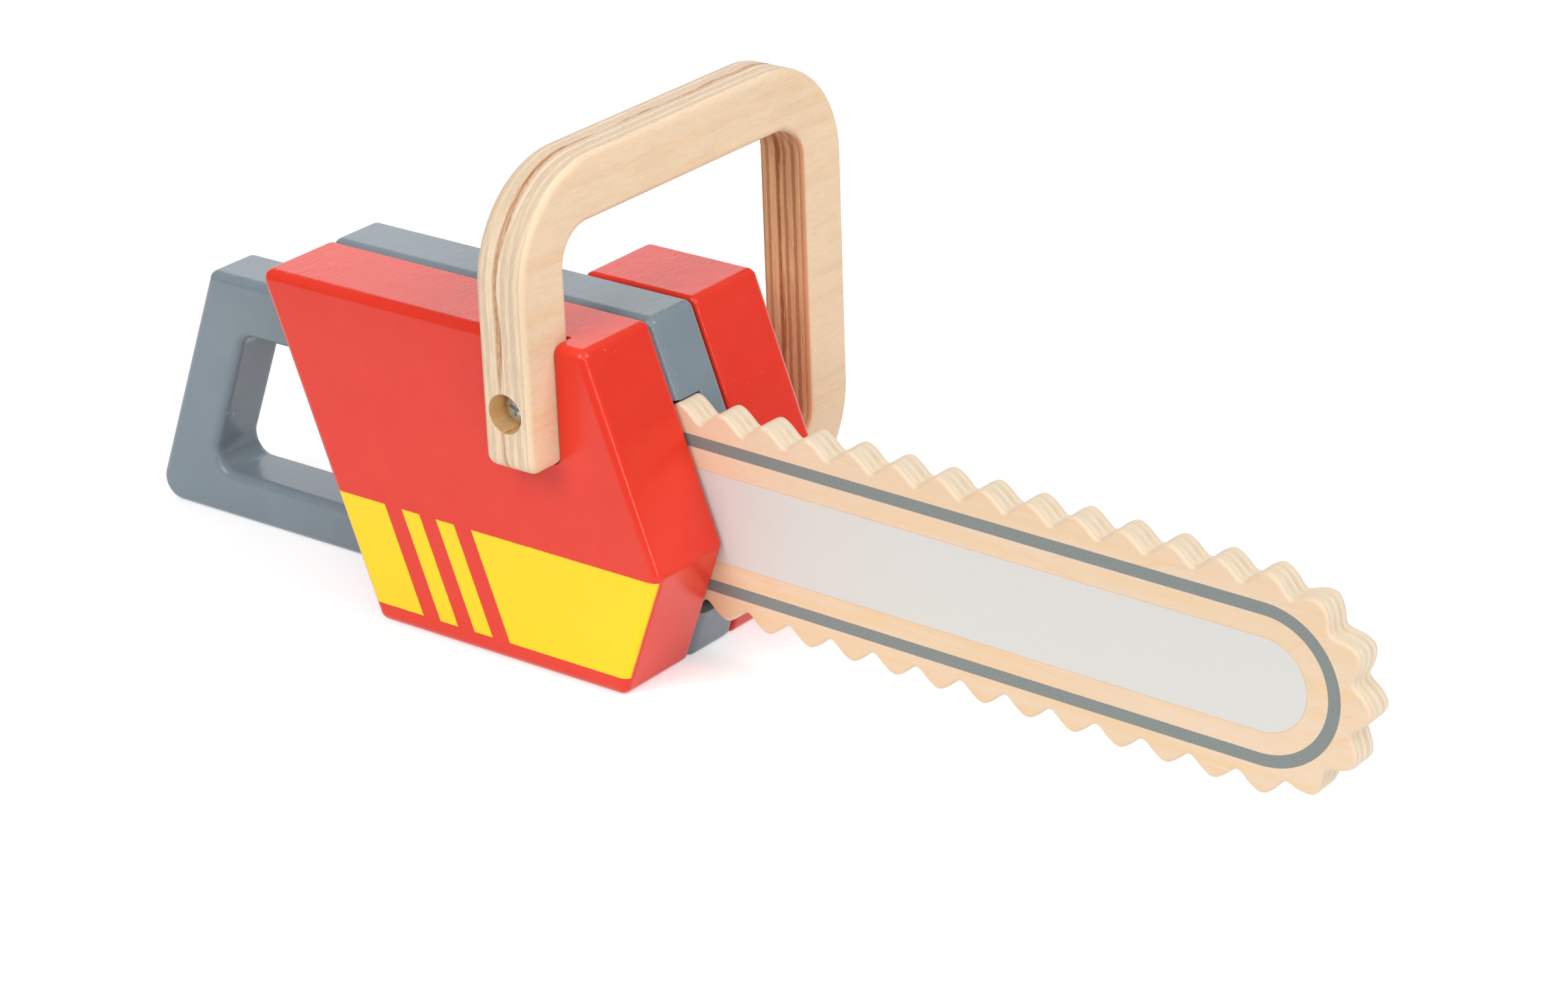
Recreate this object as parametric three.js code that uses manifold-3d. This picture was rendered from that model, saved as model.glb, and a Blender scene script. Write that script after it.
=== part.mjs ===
// Wooden toy chainsaw, in millimetres, +Z up, +X along the blade, +Y to the saw's left.
// The body is a sandwich of three rounded boards. The middle board runs back into the rear hand loop and
// traps the toothed plywood blade in a rebate against the right block. A plywood wrap handle is let into
// both outer blocks. The origin is the middle of the body's flat bottom, on the middle board.
import * as THREE from 'three';
import { mergeVertices } from 'three/addons/utils/BufferGeometryUtils.js';
import Module from 'manifold-3d';

// Body layers
const BLOCK_THICKNESS = 30;
const BOARD_THICKNESS = 20.5;
const BODY_HEIGHT = 105;
const BODY_TOP_LENGTH = 125;
const LEFT_BLOCK_TOP_LENGTH = 41.3;
const BODY_LEAN_DEG = 20.5;
const CHIN_HEIGHT = 41;
const CHIN_LEAN_DEG = 20.5;
const BODY_EDGE_RADIUS = 3;
const BODY_CORNER_EXTRA = 0.3;

// Rear hand loop, part of the middle board
const LOOP_HEIGHT = 83.5;
const LOOP_REACH = 124;
const LOOP_LEAN_DEG = 21.5;
const LOOP_REAR_BAR = 18.5;
const LOOP_TOP_BAR = 19.5;
const LOOP_BOTTOM_BAR = 15.5;
const LOOP_FRONT_SETBACK = 5;
const LOOP_HEEL_RADIUS = 7;
const LOOP_INNER_RADIUS = 6;

// Blade
const BLADE_THICKNESS = 10;
const BLADE_OVERHANG = 179.8;
const BLADE_AXIS_HEIGHT = 45.4;
const BLADE_DROOP_DEG = 1;
const TOOTH_PITCH = 15;
const TOOTH_HEIGHT = 4.7;
const TOOTH_FULLNESS = 0.086;
const TOOTH_POINT = 0.045;
const BLADE_HALF_HEIGHT = 32.5;
const STRAIGHT_TEETH = 13;
const NOSE_TEETH = 6;
const TANG_LENGTH = 56;
const BLADE_EDGE_RADIUS = 1.3;

// Wrap handle
const HANDLE_THICKNESS = 17.2;
const HANDLE_BAR = 19.8;
const HANDLE_WIDTH = 149.6;
const HANDLE_RISE = 51;
const HANDLE_SETBACK = 19.1;
const HANDLE_OUTER_RADIUS = 34;
const HANDLE_INNER_RADIUS = 11;
const HANDLE_EDGE_RADIUS = 2.5;
const HANDLE_TOE_RADIUS = 4.5;
const LEG_LET_IN = 7.5;
const RIGHT_LEG_OVERLAP = 36.5;
const LOWER_BAR_FOOT = 14;

// Fasteners
const COUNTERBORE_DIAMETER = 12;
const COUNTERBORE_DEPTH = 7.8;
const COUNTERBORE_RISE = 18;
const SCREW_HEAD_DIAMETER = 9.5;
const SCREW_HEAD_HEIGHT = 2.6;
const SCREW_HEAD_ROOM = 0.6;
const SCREW_CROWN_DIAMETER = 7;
const SCREW_CROWN_DROP = 0.4;
const SCREW_RIM_HEIGHT = 1.2;
const SCREW_SHANK_DIAMETER = 4;
const SCREW_BITE = 20;
const SCREW_SINK = 8;
const DOWEL_DIAMETER = 8;
const DOWEL_CHAMFER = 1;
const DOWEL_BITE = 14;
const DOWEL_MARGIN = 16;
const DOWEL_DROP = 12;
const DOWEL_CLEAR = 5;
const LOWER_DOWEL_RISE = 8;
const BLADE_DOWEL_BITE = 6;

// Fits and facets
const FIT_GAP = 0.3;
const ARC_STEPS = 4;
const BEND_STEPS = 8;
const EDGE_STEPS = 2;
const BLADE_EDGE_STEPS = 2;
const WAVE_STEPS = 8;
const ROUND_SIDES = 20;
const WELD_DISTANCE = 1e-4;

// Layer faces, from the right of the saw to its left
const BOARD_RIGHT_Y = -BOARD_THICKNESS / 2;
const BOARD_LEFT_Y = BOARD_THICKNESS / 2;
const RIGHT_FACE_Y = BOARD_RIGHT_Y - BLOCK_THICKNESS;
const LEFT_FACE_Y = BOARD_LEFT_Y + BLOCK_THICKNESS;

// Corners of the body's side outline
const BODY_CORNER_RADIUS = BODY_EDGE_RADIUS + BODY_CORNER_EXTRA;
const slope = (degrees) => Math.tan(THREE.MathUtils.degToRad(degrees));
const BODY_LEAN = slope(BODY_LEAN_DEG);
const NOSE_RUN = (BODY_HEIGHT - CHIN_HEIGHT) * BODY_LEAN;
const CHIN_RUN = CHIN_HEIGHT * slope(CHIN_LEAN_DEG);
const BOTTOM_LENGTH = BODY_TOP_LENGTH + NOSE_RUN - CHIN_RUN - BODY_HEIGHT * BODY_LEAN;
const BOTTOM_REAR_X = -BOTTOM_LENGTH / 2;
const BOTTOM_FRONT_X = BOTTOM_LENGTH / 2;
const CHIN_X = BOTTOM_FRONT_X + CHIN_RUN;
const TOP_FRONT_X = CHIN_X - NOSE_RUN;
const TOP_REAR_X = TOP_FRONT_X - BODY_TOP_LENGTH;
const LEFT_BLOCK_REAR_X = TOP_FRONT_X - LEFT_BLOCK_TOP_LENGTH;
const HANDLE_CENTRE_X = TOP_FRONT_X - HANDLE_SETBACK;
const BLADE_NOSE_X = CHIN_X + BLADE_OVERHANG;
const bodyRearX = (z) => BOTTOM_REAR_X - z * BODY_LEAN;

// Handle limits
const HANDLE_TOP_Z = BODY_HEIGHT + HANDLE_RISE;
const RIGHT_LEG_FOOT = BODY_HEIGHT - RIGHT_LEG_OVERLAP;
const HANDLE_RIGHT_Y = RIGHT_FACE_Y + LEG_LET_IN - HANDLE_BAR;
const HANDLE_LEFT_Y = HANDLE_RIGHT_Y + HANDLE_WIDTH;
const LOWER_BAR_END_Y = LEFT_FACE_Y - LEG_LET_IN;
const SCREW_Z = RIGHT_LEG_FOOT + COUNTERBORE_RISE;
const LOWER_SCREW_Z = LOWER_BAR_FOOT + HANDLE_BAR / 2;

const PAINT_RED = { color: 0xe8493a, roughness: 0.38, metalness: 0 };
const PAINT_GREY = { color: 0x88949c, roughness: 0.42, metalness: 0 };
const BIRCH_PLY = { color: 0xeed4b4, roughness: 0.6, metalness: 0 };
const BEECH = { color: 0xd9b98c, roughness: 0.7, metalness: 0 };
const ZINC = { color: 0xb9bcbe, roughness: 0.35, metalness: 0.9 };

const wasm = await Module();
wasm.setup();

// A closed geometry as a solid that can be joined and cut.
function solidOf(geometry) {
  const bare = geometry.clone();
  bare.deleteAttribute('normal');
  bare.deleteAttribute('uv');
  const merged = mergeVertices(bare, WELD_DISTANCE);
  const vertProperties = new Float32Array(merged.attributes.position.array);
  const triVerts = new Uint32Array(merged.index.array);
  return new wasm.Manifold(new wasm.Mesh({ numProp: 3, vertProperties, triVerts }));
}

// A cut or joined solid as a geometry with flat faces.
function geometryOf(solid) {
  const mesh = solid.getMesh();
  const indexed = new THREE.BufferGeometry();
  indexed.setAttribute('position', new THREE.BufferAttribute(new Float32Array(mesh.vertProperties), 3));
  indexed.setIndex(new THREE.BufferAttribute(new Uint32Array(mesh.triVerts), 1));
  const geometry = indexed.toNonIndexed();
  geometry.computeVertexNormals();
  return geometry;
}

function cut(geometry, cutters) {
  let solid = solidOf(geometry);
  for (const cutter of cutters) {
    solid = solid.subtract(solidOf(cutter));
  }
  return geometryOf(solid);
}

function piece(name, geometry, finish) {
  const mesh = new THREE.Mesh(geometry, new THREE.MeshStandardMaterial(finish));
  mesh.name = name;
  return mesh;
}

// A closed outline through corners [x, y, radius], each rounded by an arc.
function traceCorners(path, corners) {
  corners.forEach(([x, y, radius], i) => {
    const here = new THREE.Vector2(x, y);
    const before = new THREE.Vector2(...corners.at(i - 1).slice(0, 2)).sub(here).normalize();
    const after = new THREE.Vector2(...corners[(i + 1) % corners.length].slice(0, 2)).sub(here).normalize();
    const halfAngle = Math.acos(THREE.MathUtils.clamp(before.dot(after), -1, 1)) / 2;
    const run = radius / Math.tan(halfAngle);
    const start = here.clone().addScaledVector(before, run);
    const end = here.clone().addScaledVector(after, run);
    const middle = before.clone().add(after).normalize();
    const centre = here.clone().addScaledVector(middle, radius / Math.sin(halfAngle));
    const turnsRight = before.cross(after) > 0;
    const startAngle = start.sub(centre).angle();
    const endAngle = end.sub(centre).angle();
    path.absarc(centre.x, centre.y, radius, startAngle, endAngle, turnsRight);
  });
  path.closePath();
  return path;
}

const roundedShape = (corners) => traceCorners(new THREE.Shape(), corners);
const roundedHole = (corners) => traceCorners(new THREE.Path(), corners);

// A board with rounded edges, lying on its outline with its thickness along Z.
function board(shape, thickness, edgeRadius, edgeSteps, curveSegments) {
  return new THREE.ExtrudeGeometry(shape, {
    depth: thickness - 2 * edgeRadius,
    bevelEnabled: edgeRadius > 0,
    bevelThickness: edgeRadius,
    bevelSize: edgeRadius,
    bevelOffset: -edgeRadius,
    bevelSegments: edgeSteps,
    curveSegments,
  }).translate(0, 0, edgeRadius);
}

// Stands a board up so that its outline lies in the XZ plane, from rightY to the saw's left.
const standAlongX = (geometry, thickness, rightY) =>
  geometry.rotateX(Math.PI / 2).translate(0, rightY + thickness, 0);

// Stands a board up so that its outline lies in the YZ plane, with its thickness about centreX.
function standAcross(geometry, thickness, centreX) {
  const turn = new THREE.Matrix4().makeBasis(
    new THREE.Vector3(0, 1, 0),
    new THREE.Vector3(0, 0, 1),
    new THREE.Vector3(1, 0, 0),
  );
  return geometry.applyMatrix4(turn).translate(centreX - thickness / 2, 0, 0);
}

// A round bar along Y.
function barAlongY(diameter, fromY, toY, x, z) {
  const radius = diameter / 2;
  const bar = new THREE.CylinderGeometry(radius, radius, toY - fromY, ROUND_SIDES);
  return bar.translate(x, (fromY + toY) / 2, z);
}

function boxBetween(low, high) {
  const size = high.map((value, i) => value - low[i]);
  const middle = high.map((value, i) => (value + low[i]) / 2);
  return new THREE.BoxGeometry(...size).translate(...middle);
}

// Blade. Its own frame has the nose centre at the origin and the middle of its thickness on y = 0.
// The teeth end at a root, half a pitch past the last crest, and the smooth tang follows.
const TANG_HALF_HEIGHT = BLADE_HALF_HEIGHT - TOOTH_HEIGHT;
const TOOTHED_PITCHES = STRAIGHT_TEETH + 0.5;
const TOOTHED_LENGTH = TOOTHED_PITCHES * TOOTH_PITCH;
const TANG_REAR_X = -TOOTHED_LENGTH - TANG_LENGTH;
const BLADE_CENTRE_Y = BOARD_RIGHT_Y + FIT_GAP + BLADE_THICKNESS / 2;
const REBATE_DEPTH = BLADE_THICKNESS + 2 * FIT_GAP;

// Half height of the blade, counted in teeth from the middle of a tooth: a wave with full crests, straight
// flanks and tighter roots.
function toothWave(teeth) {
  const turn = 2 * Math.PI * teeth;
  const wave = (1 + Math.cos(turn)) / 2;
  const fullness = (TOOTH_FULLNESS * (1 - Math.cos(2 * turn))) / 2;
  const point = (TOOTH_POINT * (Math.cos(3 * turn) - Math.cos(turn))) / 2;
  return TANG_HALF_HEIGHT + TOOTH_HEIGHT * (wave + fullness + point);
}

function bladeShape() {
  const outline = [];
  const straightSteps = TOOTHED_PITCHES * WAVE_STEPS;
  for (let i = straightSteps; i > 0; i -= 1) {
    const teeth = i / WAVE_STEPS;
    outline.push(new THREE.Vector2(-teeth * TOOTH_PITCH, -toothWave(teeth)));
  }
  for (let i = 0; i <= NOSE_TEETH * WAVE_STEPS; i += 1) {
    const teeth = i / WAVE_STEPS;
    const angle = (teeth / NOSE_TEETH - 0.5) * Math.PI;
    const radius = toothWave(teeth);
    outline.push(new THREE.Vector2(radius * Math.cos(angle), radius * Math.sin(angle)));
  }
  for (let i = 1; i <= straightSteps; i += 1) {
    const teeth = i / WAVE_STEPS;
    outline.push(new THREE.Vector2(-teeth * TOOTH_PITCH, toothWave(teeth)));
  }
  outline.push(new THREE.Vector2(TANG_REAR_X, TANG_HALF_HEIGHT));
  outline.push(new THREE.Vector2(TANG_REAR_X, -TANG_HALF_HEIGHT));
  return new THREE.Shape(outline);
}

// The blade's frame in the body's frame.
const bladeSeat = new THREE.Group();
bladeSeat.position.set(BLADE_NOSE_X, BLADE_CENTRE_Y, BLADE_AXIS_HEIGHT);
bladeSeat.rotation.y = THREE.MathUtils.degToRad(BLADE_DROOP_DEG);
bladeSeat.updateMatrix();

// Two dowels pin the tang on the blade's axis, each a quarter of the tang from its end.
const BLADE_DOWEL_INSET = TANG_LENGTH / 4;
const bladeDowels = [
  ['blade_dowel_rear', TANG_REAR_X + BLADE_DOWEL_INSET],
  ['blade_dowel_front', -TOOTHED_LENGTH - BLADE_DOWEL_INSET],
];

function buildBlade() {
  const plate = board(bladeShape(), BLADE_THICKNESS, BLADE_EDGE_RADIUS, BLADE_EDGE_STEPS, WAVE_STEPS);
  standAlongX(plate, BLADE_THICKNESS, -BLADE_THICKNESS / 2);
  const holes = bladeDowels.map(([, x]) =>
    barAlongY(DOWEL_DIAMETER + 2 * FIT_GAP, -BLADE_THICKNESS, BLADE_THICKNESS, x, 0));
  bladeSeat.add(piece('saw_blade', cut(plate, holes), BIRCH_PLY));
}

// The rebate follows the blade at the fit gap and runs out of the board's front.
function rebateCutter() {
  const reach = BLADE_HALF_HEIGHT + FIT_GAP;
  const cutter = boxBetween(
    [TANG_REAR_X - FIT_GAP, -REBATE_DEPTH, -reach],
    [0, REBATE_DEPTH / 2, reach],
  );
  return cutter.applyMatrix4(bladeSeat.matrix);
}

// Dowels of the body: name, x, z, the faces they run between.
const RIGHT_DOWEL_Y = BOARD_RIGHT_Y - DOWEL_BITE;
const LEFT_DOWEL_Y = BOARD_LEFT_Y + DOWEL_BITE;
const UPPER_DOWEL_Z = BODY_HEIGHT - DOWEL_DROP;
const UPPER_FRONT_DOWEL_X = HANDLE_CENTRE_X + HANDLE_THICKNESS / 2 + DOWEL_CLEAR;
const bodyDowels = [
  { name: 'upper_rear_dowel', x: bodyRearX(UPPER_DOWEL_Z) + DOWEL_MARGIN, z: UPPER_DOWEL_Z, toY: 0 },
  { name: 'lower_rear_dowel', x: BOTTOM_REAR_X + DOWEL_MARGIN, z: DOWEL_MARGIN, toY: 0 },
  { name: 'upper_front_dowel', x: UPPER_FRONT_DOWEL_X, z: UPPER_DOWEL_Z, toY: LEFT_DOWEL_Y },
  { name: 'lower_front_dowel', x: BOTTOM_FRONT_X - DOWEL_MARGIN, z: LOWER_DOWEL_RISE, toY: LEFT_DOWEL_Y },
];

const dowelHole = ({ x, z, toY }) =>
  barAlongY(DOWEL_DIAMETER + 2 * FIT_GAP, RIGHT_DOWEL_Y - FIT_GAP, toY + FIT_GAP, x, z);

// A dowel with chamfered ends, turned about its own Y axis.
function dowelGeometry(fromY, toY) {
  const radius = DOWEL_DIAMETER / 2;
  const profile = [
    [0, fromY],
    [radius - DOWEL_CHAMFER, fromY],
    [radius, fromY + DOWEL_CHAMFER],
    [radius, toY - DOWEL_CHAMFER],
    [radius - DOWEL_CHAMFER, toY],
    [0, toY],
  ].map(([r, y]) => new THREE.Vector2(r, y));
  return new THREE.LatheGeometry(profile, ROUND_SIDES);
}

// A blade dowel runs from the right block, through the tang, into the board behind the rebate.
const BLADE_DOWEL_FROM = RIGHT_DOWEL_Y - BLADE_CENTRE_Y;
const BLADE_DOWEL_TO = BLADE_THICKNESS / 2 + FIT_GAP + BLADE_DOWEL_BITE;
const bladeDowelHoles = () => bladeDowels.map(([, x]) =>
  barAlongY(DOWEL_DIAMETER + 2 * FIT_GAP, BLADE_DOWEL_FROM - FIT_GAP, BLADE_DOWEL_TO + FIT_GAP, x, 0)
    .applyMatrix4(bladeSeat.matrix));

// Screws. A screw points along +Y from its head's seat at the origin.
const SCREW_POINT = SCREW_SHANK_DIAMETER;
function screwGeometry(length) {
  const head = SCREW_HEAD_DIAMETER / 2;
  const shank = SCREW_SHANK_DIAMETER / 2;
  const crown = SCREW_CROWN_DIAMETER / 2;
  const profile = [
    [0, -SCREW_HEAD_HEIGHT],
    [crown, SCREW_CROWN_DROP - SCREW_HEAD_HEIGHT],
    [head, -SCREW_RIM_HEIGHT],
    [head, 0],
    [shank, 0],
    [shank, length - SCREW_POINT],
    [0, length],
  ].map(([r, y]) => new THREE.Vector2(r, y));
  return new THREE.LatheGeometry(profile, ROUND_SIDES);
}

const RIGHT_SCREW_SEAT_Y = HANDLE_RIGHT_Y + COUNTERBORE_DEPTH;
const RIGHT_SCREW_LENGTH = RIGHT_FACE_Y + LEG_LET_IN + SCREW_BITE - RIGHT_SCREW_SEAT_Y;
const LOWER_SCREW_SEAT_Y = BOARD_LEFT_Y + SCREW_SINK;
const LOWER_SCREW_LENGTH = LOWER_BAR_END_Y + SCREW_BITE - LOWER_SCREW_SEAT_Y;
const screwHole = (fromY, toY, z) =>
  barAlongY(SCREW_SHANK_DIAMETER + 2 * FIT_GAP, fromY, toY + FIT_GAP, HANDLE_CENTRE_X, z);
const headHole = (diameter, fromY, toY, z) => barAlongY(diameter, fromY, toY, HANDLE_CENTRE_X, z);

const rightScrewHole = () =>
  screwHole(RIGHT_SCREW_SEAT_Y - FIT_GAP, RIGHT_SCREW_SEAT_Y + RIGHT_SCREW_LENGTH, SCREW_Z);
const lowerScrewHole = () =>
  screwHole(LOWER_SCREW_SEAT_Y - FIT_GAP, LOWER_SCREW_SEAT_Y + LOWER_SCREW_LENGTH, LOWER_SCREW_Z);

// Wrap handle, drawn across the saw: right foot, right corner, left corner, lower bar, and back inside.
function handleShape() {
  const rightIn = HANDLE_RIGHT_Y + HANDLE_BAR;
  const leftIn = HANDLE_LEFT_Y - HANDLE_BAR;
  const topIn = HANDLE_TOP_Z - HANDLE_BAR;
  const lowerIn = LOWER_BAR_FOOT + HANDLE_BAR;
  return roundedShape([
    [HANDLE_RIGHT_Y, RIGHT_LEG_FOOT, HANDLE_TOE_RADIUS],
    [rightIn, RIGHT_LEG_FOOT, HANDLE_TOE_RADIUS],
    [rightIn, topIn, HANDLE_INNER_RADIUS],
    [leftIn, topIn, HANDLE_INNER_RADIUS],
    [leftIn, lowerIn, HANDLE_INNER_RADIUS],
    [LOWER_BAR_END_Y, lowerIn, HANDLE_TOE_RADIUS],
    [LOWER_BAR_END_Y, LOWER_BAR_FOOT, HANDLE_TOE_RADIUS],
    [HANDLE_LEFT_Y, LOWER_BAR_FOOT, HANDLE_OUTER_RADIUS],
    [HANDLE_LEFT_Y, HANDLE_TOP_Z, HANDLE_OUTER_RADIUS],
    [HANDLE_RIGHT_Y, HANDLE_TOP_Z, HANDLE_OUTER_RADIUS],
  ]);
}

function buildHandle() {
  const blank = board(handleShape(), HANDLE_THICKNESS, HANDLE_EDGE_RADIUS, EDGE_STEPS, BEND_STEPS);
  standAcross(blank, HANDLE_THICKNESS, HANDLE_CENTRE_X);
  return piece('front_handle', cut(blank, [
    headHole(COUNTERBORE_DIAMETER, HANDLE_RIGHT_Y - FIT_GAP, RIGHT_SCREW_SEAT_Y, SCREW_Z),
    rightScrewHole(),
    lowerScrewHole(),
  ]), BIRCH_PLY);
}

// The pocket that a leg or bar of the handle is let into, open at the block's face. Its corners follow the
// bar's rounded edges.
function legPocket(fromY, toY, fromZ, toZ) {
  const half = HANDLE_THICKNESS / 2 + FIT_GAP;
  const radius = HANDLE_EDGE_RADIUS + FIT_GAP;
  const depth = toY - fromY;
  const shape = roundedShape([
    [HANDLE_CENTRE_X - half, fromZ, radius],
    [HANDLE_CENTRE_X + half, fromZ, radius],
    [HANDLE_CENTRE_X + half, toZ, radius],
    [HANDLE_CENTRE_X - half, toZ, radius],
  ]);
  return standAlongX(board(shape, depth, 0, EDGE_STEPS, ARC_STEPS), depth, fromY);
}

const roundedBlock = (shape, rightY, thickness) =>
  standAlongX(board(shape, thickness, BODY_EDGE_RADIUS, EDGE_STEPS, ARC_STEPS), thickness, rightY);

const FRONT_CORNERS = [
  [BOTTOM_FRONT_X, 0, BODY_CORNER_RADIUS],
  [CHIN_X, CHIN_HEIGHT, BODY_CORNER_RADIUS],
  [TOP_FRONT_X, BODY_HEIGHT, BODY_CORNER_RADIUS],
];

function buildRightBlock() {
  const shape = roundedShape([
    [BOTTOM_REAR_X, 0, BODY_CORNER_RADIUS],
    ...FRONT_CORNERS,
    [TOP_REAR_X, BODY_HEIGHT, BODY_CORNER_RADIUS],
  ]);
  return piece('right_block', cut(roundedBlock(shape, RIGHT_FACE_Y, BLOCK_THICKNESS), [
    legPocket(HANDLE_RIGHT_Y, RIGHT_FACE_Y + LEG_LET_IN + FIT_GAP, RIGHT_LEG_FOOT - FIT_GAP, HANDLE_TOP_Z),
    rightScrewHole(),
    ...bodyDowels.map(dowelHole),
    ...bladeDowelHoles(),
  ]), PAINT_RED);
}

function buildLeftBlock() {
  const shape = roundedShape([
    [LEFT_BLOCK_REAR_X, 0, BODY_CORNER_RADIUS],
    ...FRONT_CORNERS,
    [LEFT_BLOCK_REAR_X, BODY_HEIGHT, BODY_CORNER_RADIUS],
  ]);
  const headRoom = SCREW_HEAD_DIAMETER + 2 * SCREW_HEAD_ROOM;
  return piece('left_block', cut(roundedBlock(shape, BOARD_LEFT_Y, BLOCK_THICKNESS), [
    legPocket(LOWER_BAR_END_Y - FIT_GAP, HANDLE_LEFT_Y, LOWER_BAR_FOOT - FIT_GAP,
      LOWER_BAR_FOOT + HANDLE_BAR + FIT_GAP),
    headHole(headRoom, BOARD_LEFT_Y - FIT_GAP, LOWER_SCREW_SEAT_Y, LOWER_SCREW_Z),
    lowerScrewHole(),
    ...bodyDowels.map(dowelHole),
  ]), PAINT_RED);
}

function buildCenterBoard() {
  const loopLean = slope(LOOP_LEAN_DEG);
  const heelX = BOTTOM_REAR_X - LOOP_REACH;
  const loopRearX = (z) => heelX + z * loopLean;
  const rearBarRun = LOOP_REAR_BAR / Math.cos(THREE.MathUtils.degToRad(LOOP_LEAN_DEG));
  const setbackRun = LOOP_FRONT_SETBACK / Math.cos(THREE.MathUtils.degToRad(BODY_LEAN_DEG));
  const holeTop = LOOP_HEIGHT - LOOP_TOP_BAR;
  const shape = roundedShape([
    [heelX, 0, LOOP_HEEL_RADIUS],
    ...FRONT_CORNERS,
    [TOP_REAR_X, BODY_HEIGHT, BODY_CORNER_RADIUS],
    [bodyRearX(LOOP_HEIGHT), LOOP_HEIGHT, BODY_CORNER_RADIUS],
    [loopRearX(LOOP_HEIGHT), LOOP_HEIGHT, BODY_CORNER_RADIUS],
  ]);
  shape.holes.push(roundedHole([
    [loopRearX(LOOP_BOTTOM_BAR) + rearBarRun, LOOP_BOTTOM_BAR, LOOP_INNER_RADIUS],
    [bodyRearX(LOOP_BOTTOM_BAR) - setbackRun, LOOP_BOTTOM_BAR, LOOP_INNER_RADIUS],
    [bodyRearX(holeTop) - setbackRun, holeTop, LOOP_INNER_RADIUS],
    [loopRearX(holeTop) + rearBarRun, holeTop, LOOP_INNER_RADIUS],
  ]));
  return piece('center_board', cut(roundedBlock(shape, BOARD_RIGHT_Y, BOARD_THICKNESS), [
    rebateCutter(),
    ...bodyDowels.map(dowelHole),
    ...bladeDowelHoles(),
  ]), PAINT_GREY);
}

function placedScrew(name, seatY, length, z) {
  const screw = piece(name, screwGeometry(length), ZINC);
  screw.position.set(HANDLE_CENTRE_X, seatY, z);
  return screw;
}

const chainsaw = new THREE.Group();
chainsaw.add(buildCenterBoard(), buildRightBlock(), buildLeftBlock(), buildHandle());
buildBlade();
for (const [name, x] of bladeDowels) {
  const dowel = piece(name, dowelGeometry(BLADE_DOWEL_FROM, BLADE_DOWEL_TO), BEECH);
  dowel.position.x = x;
  bladeSeat.add(dowel);
}
chainsaw.add(bladeSeat);
for (const { name, x, z, toY } of bodyDowels) {
  const dowel = piece(name, dowelGeometry(RIGHT_DOWEL_Y, toY), BEECH);
  dowel.position.set(x, 0, z);
  chainsaw.add(dowel);
}
chainsaw.add(placedScrew('right_leg_screw', RIGHT_SCREW_SEAT_Y - FIT_GAP, RIGHT_SCREW_LENGTH, SCREW_Z));
chainsaw.add(placedScrew('lower_bar_screw', LOWER_SCREW_SEAT_Y - FIT_GAP, LOWER_SCREW_LENGTH, LOWER_SCREW_Z));

export default chainsaw;
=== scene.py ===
import math

import bmesh
import bpy
from mathutils import Matrix, Vector
from mathutils.geometry import tessellate_polygon


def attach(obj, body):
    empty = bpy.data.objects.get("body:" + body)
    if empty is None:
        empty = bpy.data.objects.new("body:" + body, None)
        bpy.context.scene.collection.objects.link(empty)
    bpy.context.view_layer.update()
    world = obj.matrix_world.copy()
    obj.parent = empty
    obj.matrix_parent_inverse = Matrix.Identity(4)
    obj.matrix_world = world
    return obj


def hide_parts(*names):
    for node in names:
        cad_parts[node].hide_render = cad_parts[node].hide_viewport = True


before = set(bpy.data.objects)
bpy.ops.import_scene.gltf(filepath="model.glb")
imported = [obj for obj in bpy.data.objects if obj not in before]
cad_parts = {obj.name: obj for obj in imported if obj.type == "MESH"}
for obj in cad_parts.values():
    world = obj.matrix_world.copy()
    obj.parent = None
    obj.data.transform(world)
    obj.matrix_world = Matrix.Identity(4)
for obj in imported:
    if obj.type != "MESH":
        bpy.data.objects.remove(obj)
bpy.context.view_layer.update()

MM = 0.001

# Body layers, in millimetres
BLOCK_THICKNESS = 30
BOARD_THICKNESS = 20.5
BODY_HEIGHT = 105
BODY_TOP_LENGTH = 125
LEFT_BLOCK_TOP_LENGTH = 41.3
BODY_LEAN = math.tan(math.radians(20.5))
CHIN_HEIGHT = 41
BODY_EDGE_RADIUS = 3
RIGHT_SEAM_RADIUS = 2.2
LEFT_SEAM_RADIUS = 1.3
BODY_CORNER_RADIUS = 3.3

# Rear hand loop
LOOP_HEIGHT = 83.5
LOOP_REACH = 124
LOOP_LEAN = math.tan(math.radians(21.5))
LOOP_REAR_BAR = 18.5
LOOP_TOP_BAR = 19.5
LOOP_BOTTOM_BAR = 15.5
LOOP_FRONT_SETBACK = 5
LOOP_HEEL_RADIUS = 7
LOOP_INNER_RADIUS = 6

# Blade
BLADE_THICKNESS = 10
BLADE_OVERHANG = 179.8
BLADE_AXIS_HEIGHT = 45.4
BLADE_DROOP = math.radians(1)
TOOTH_PITCH = 15
TOOTH_HEIGHT = 4.7
TOOTH_FULLNESS = 0.086
TOOTH_POINT = 0.045
BLADE_HALF_HEIGHT = 32.5
STRAIGHT_TEETH = 13
NOSE_TEETH = 6
TANG_LENGTH = 56
BLADE_EDGE_RADIUS = 1.1
PRINT_SETBACK = 0.5
PRINT_BAR = 13.73
PRINT_STRIPE = (20.21, 24.0)
PRINT_BLUR = 0.1
PRINT_RIM = 0.3
WAVE_STEPS = 16
BLADE_PLIES = 7

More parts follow.
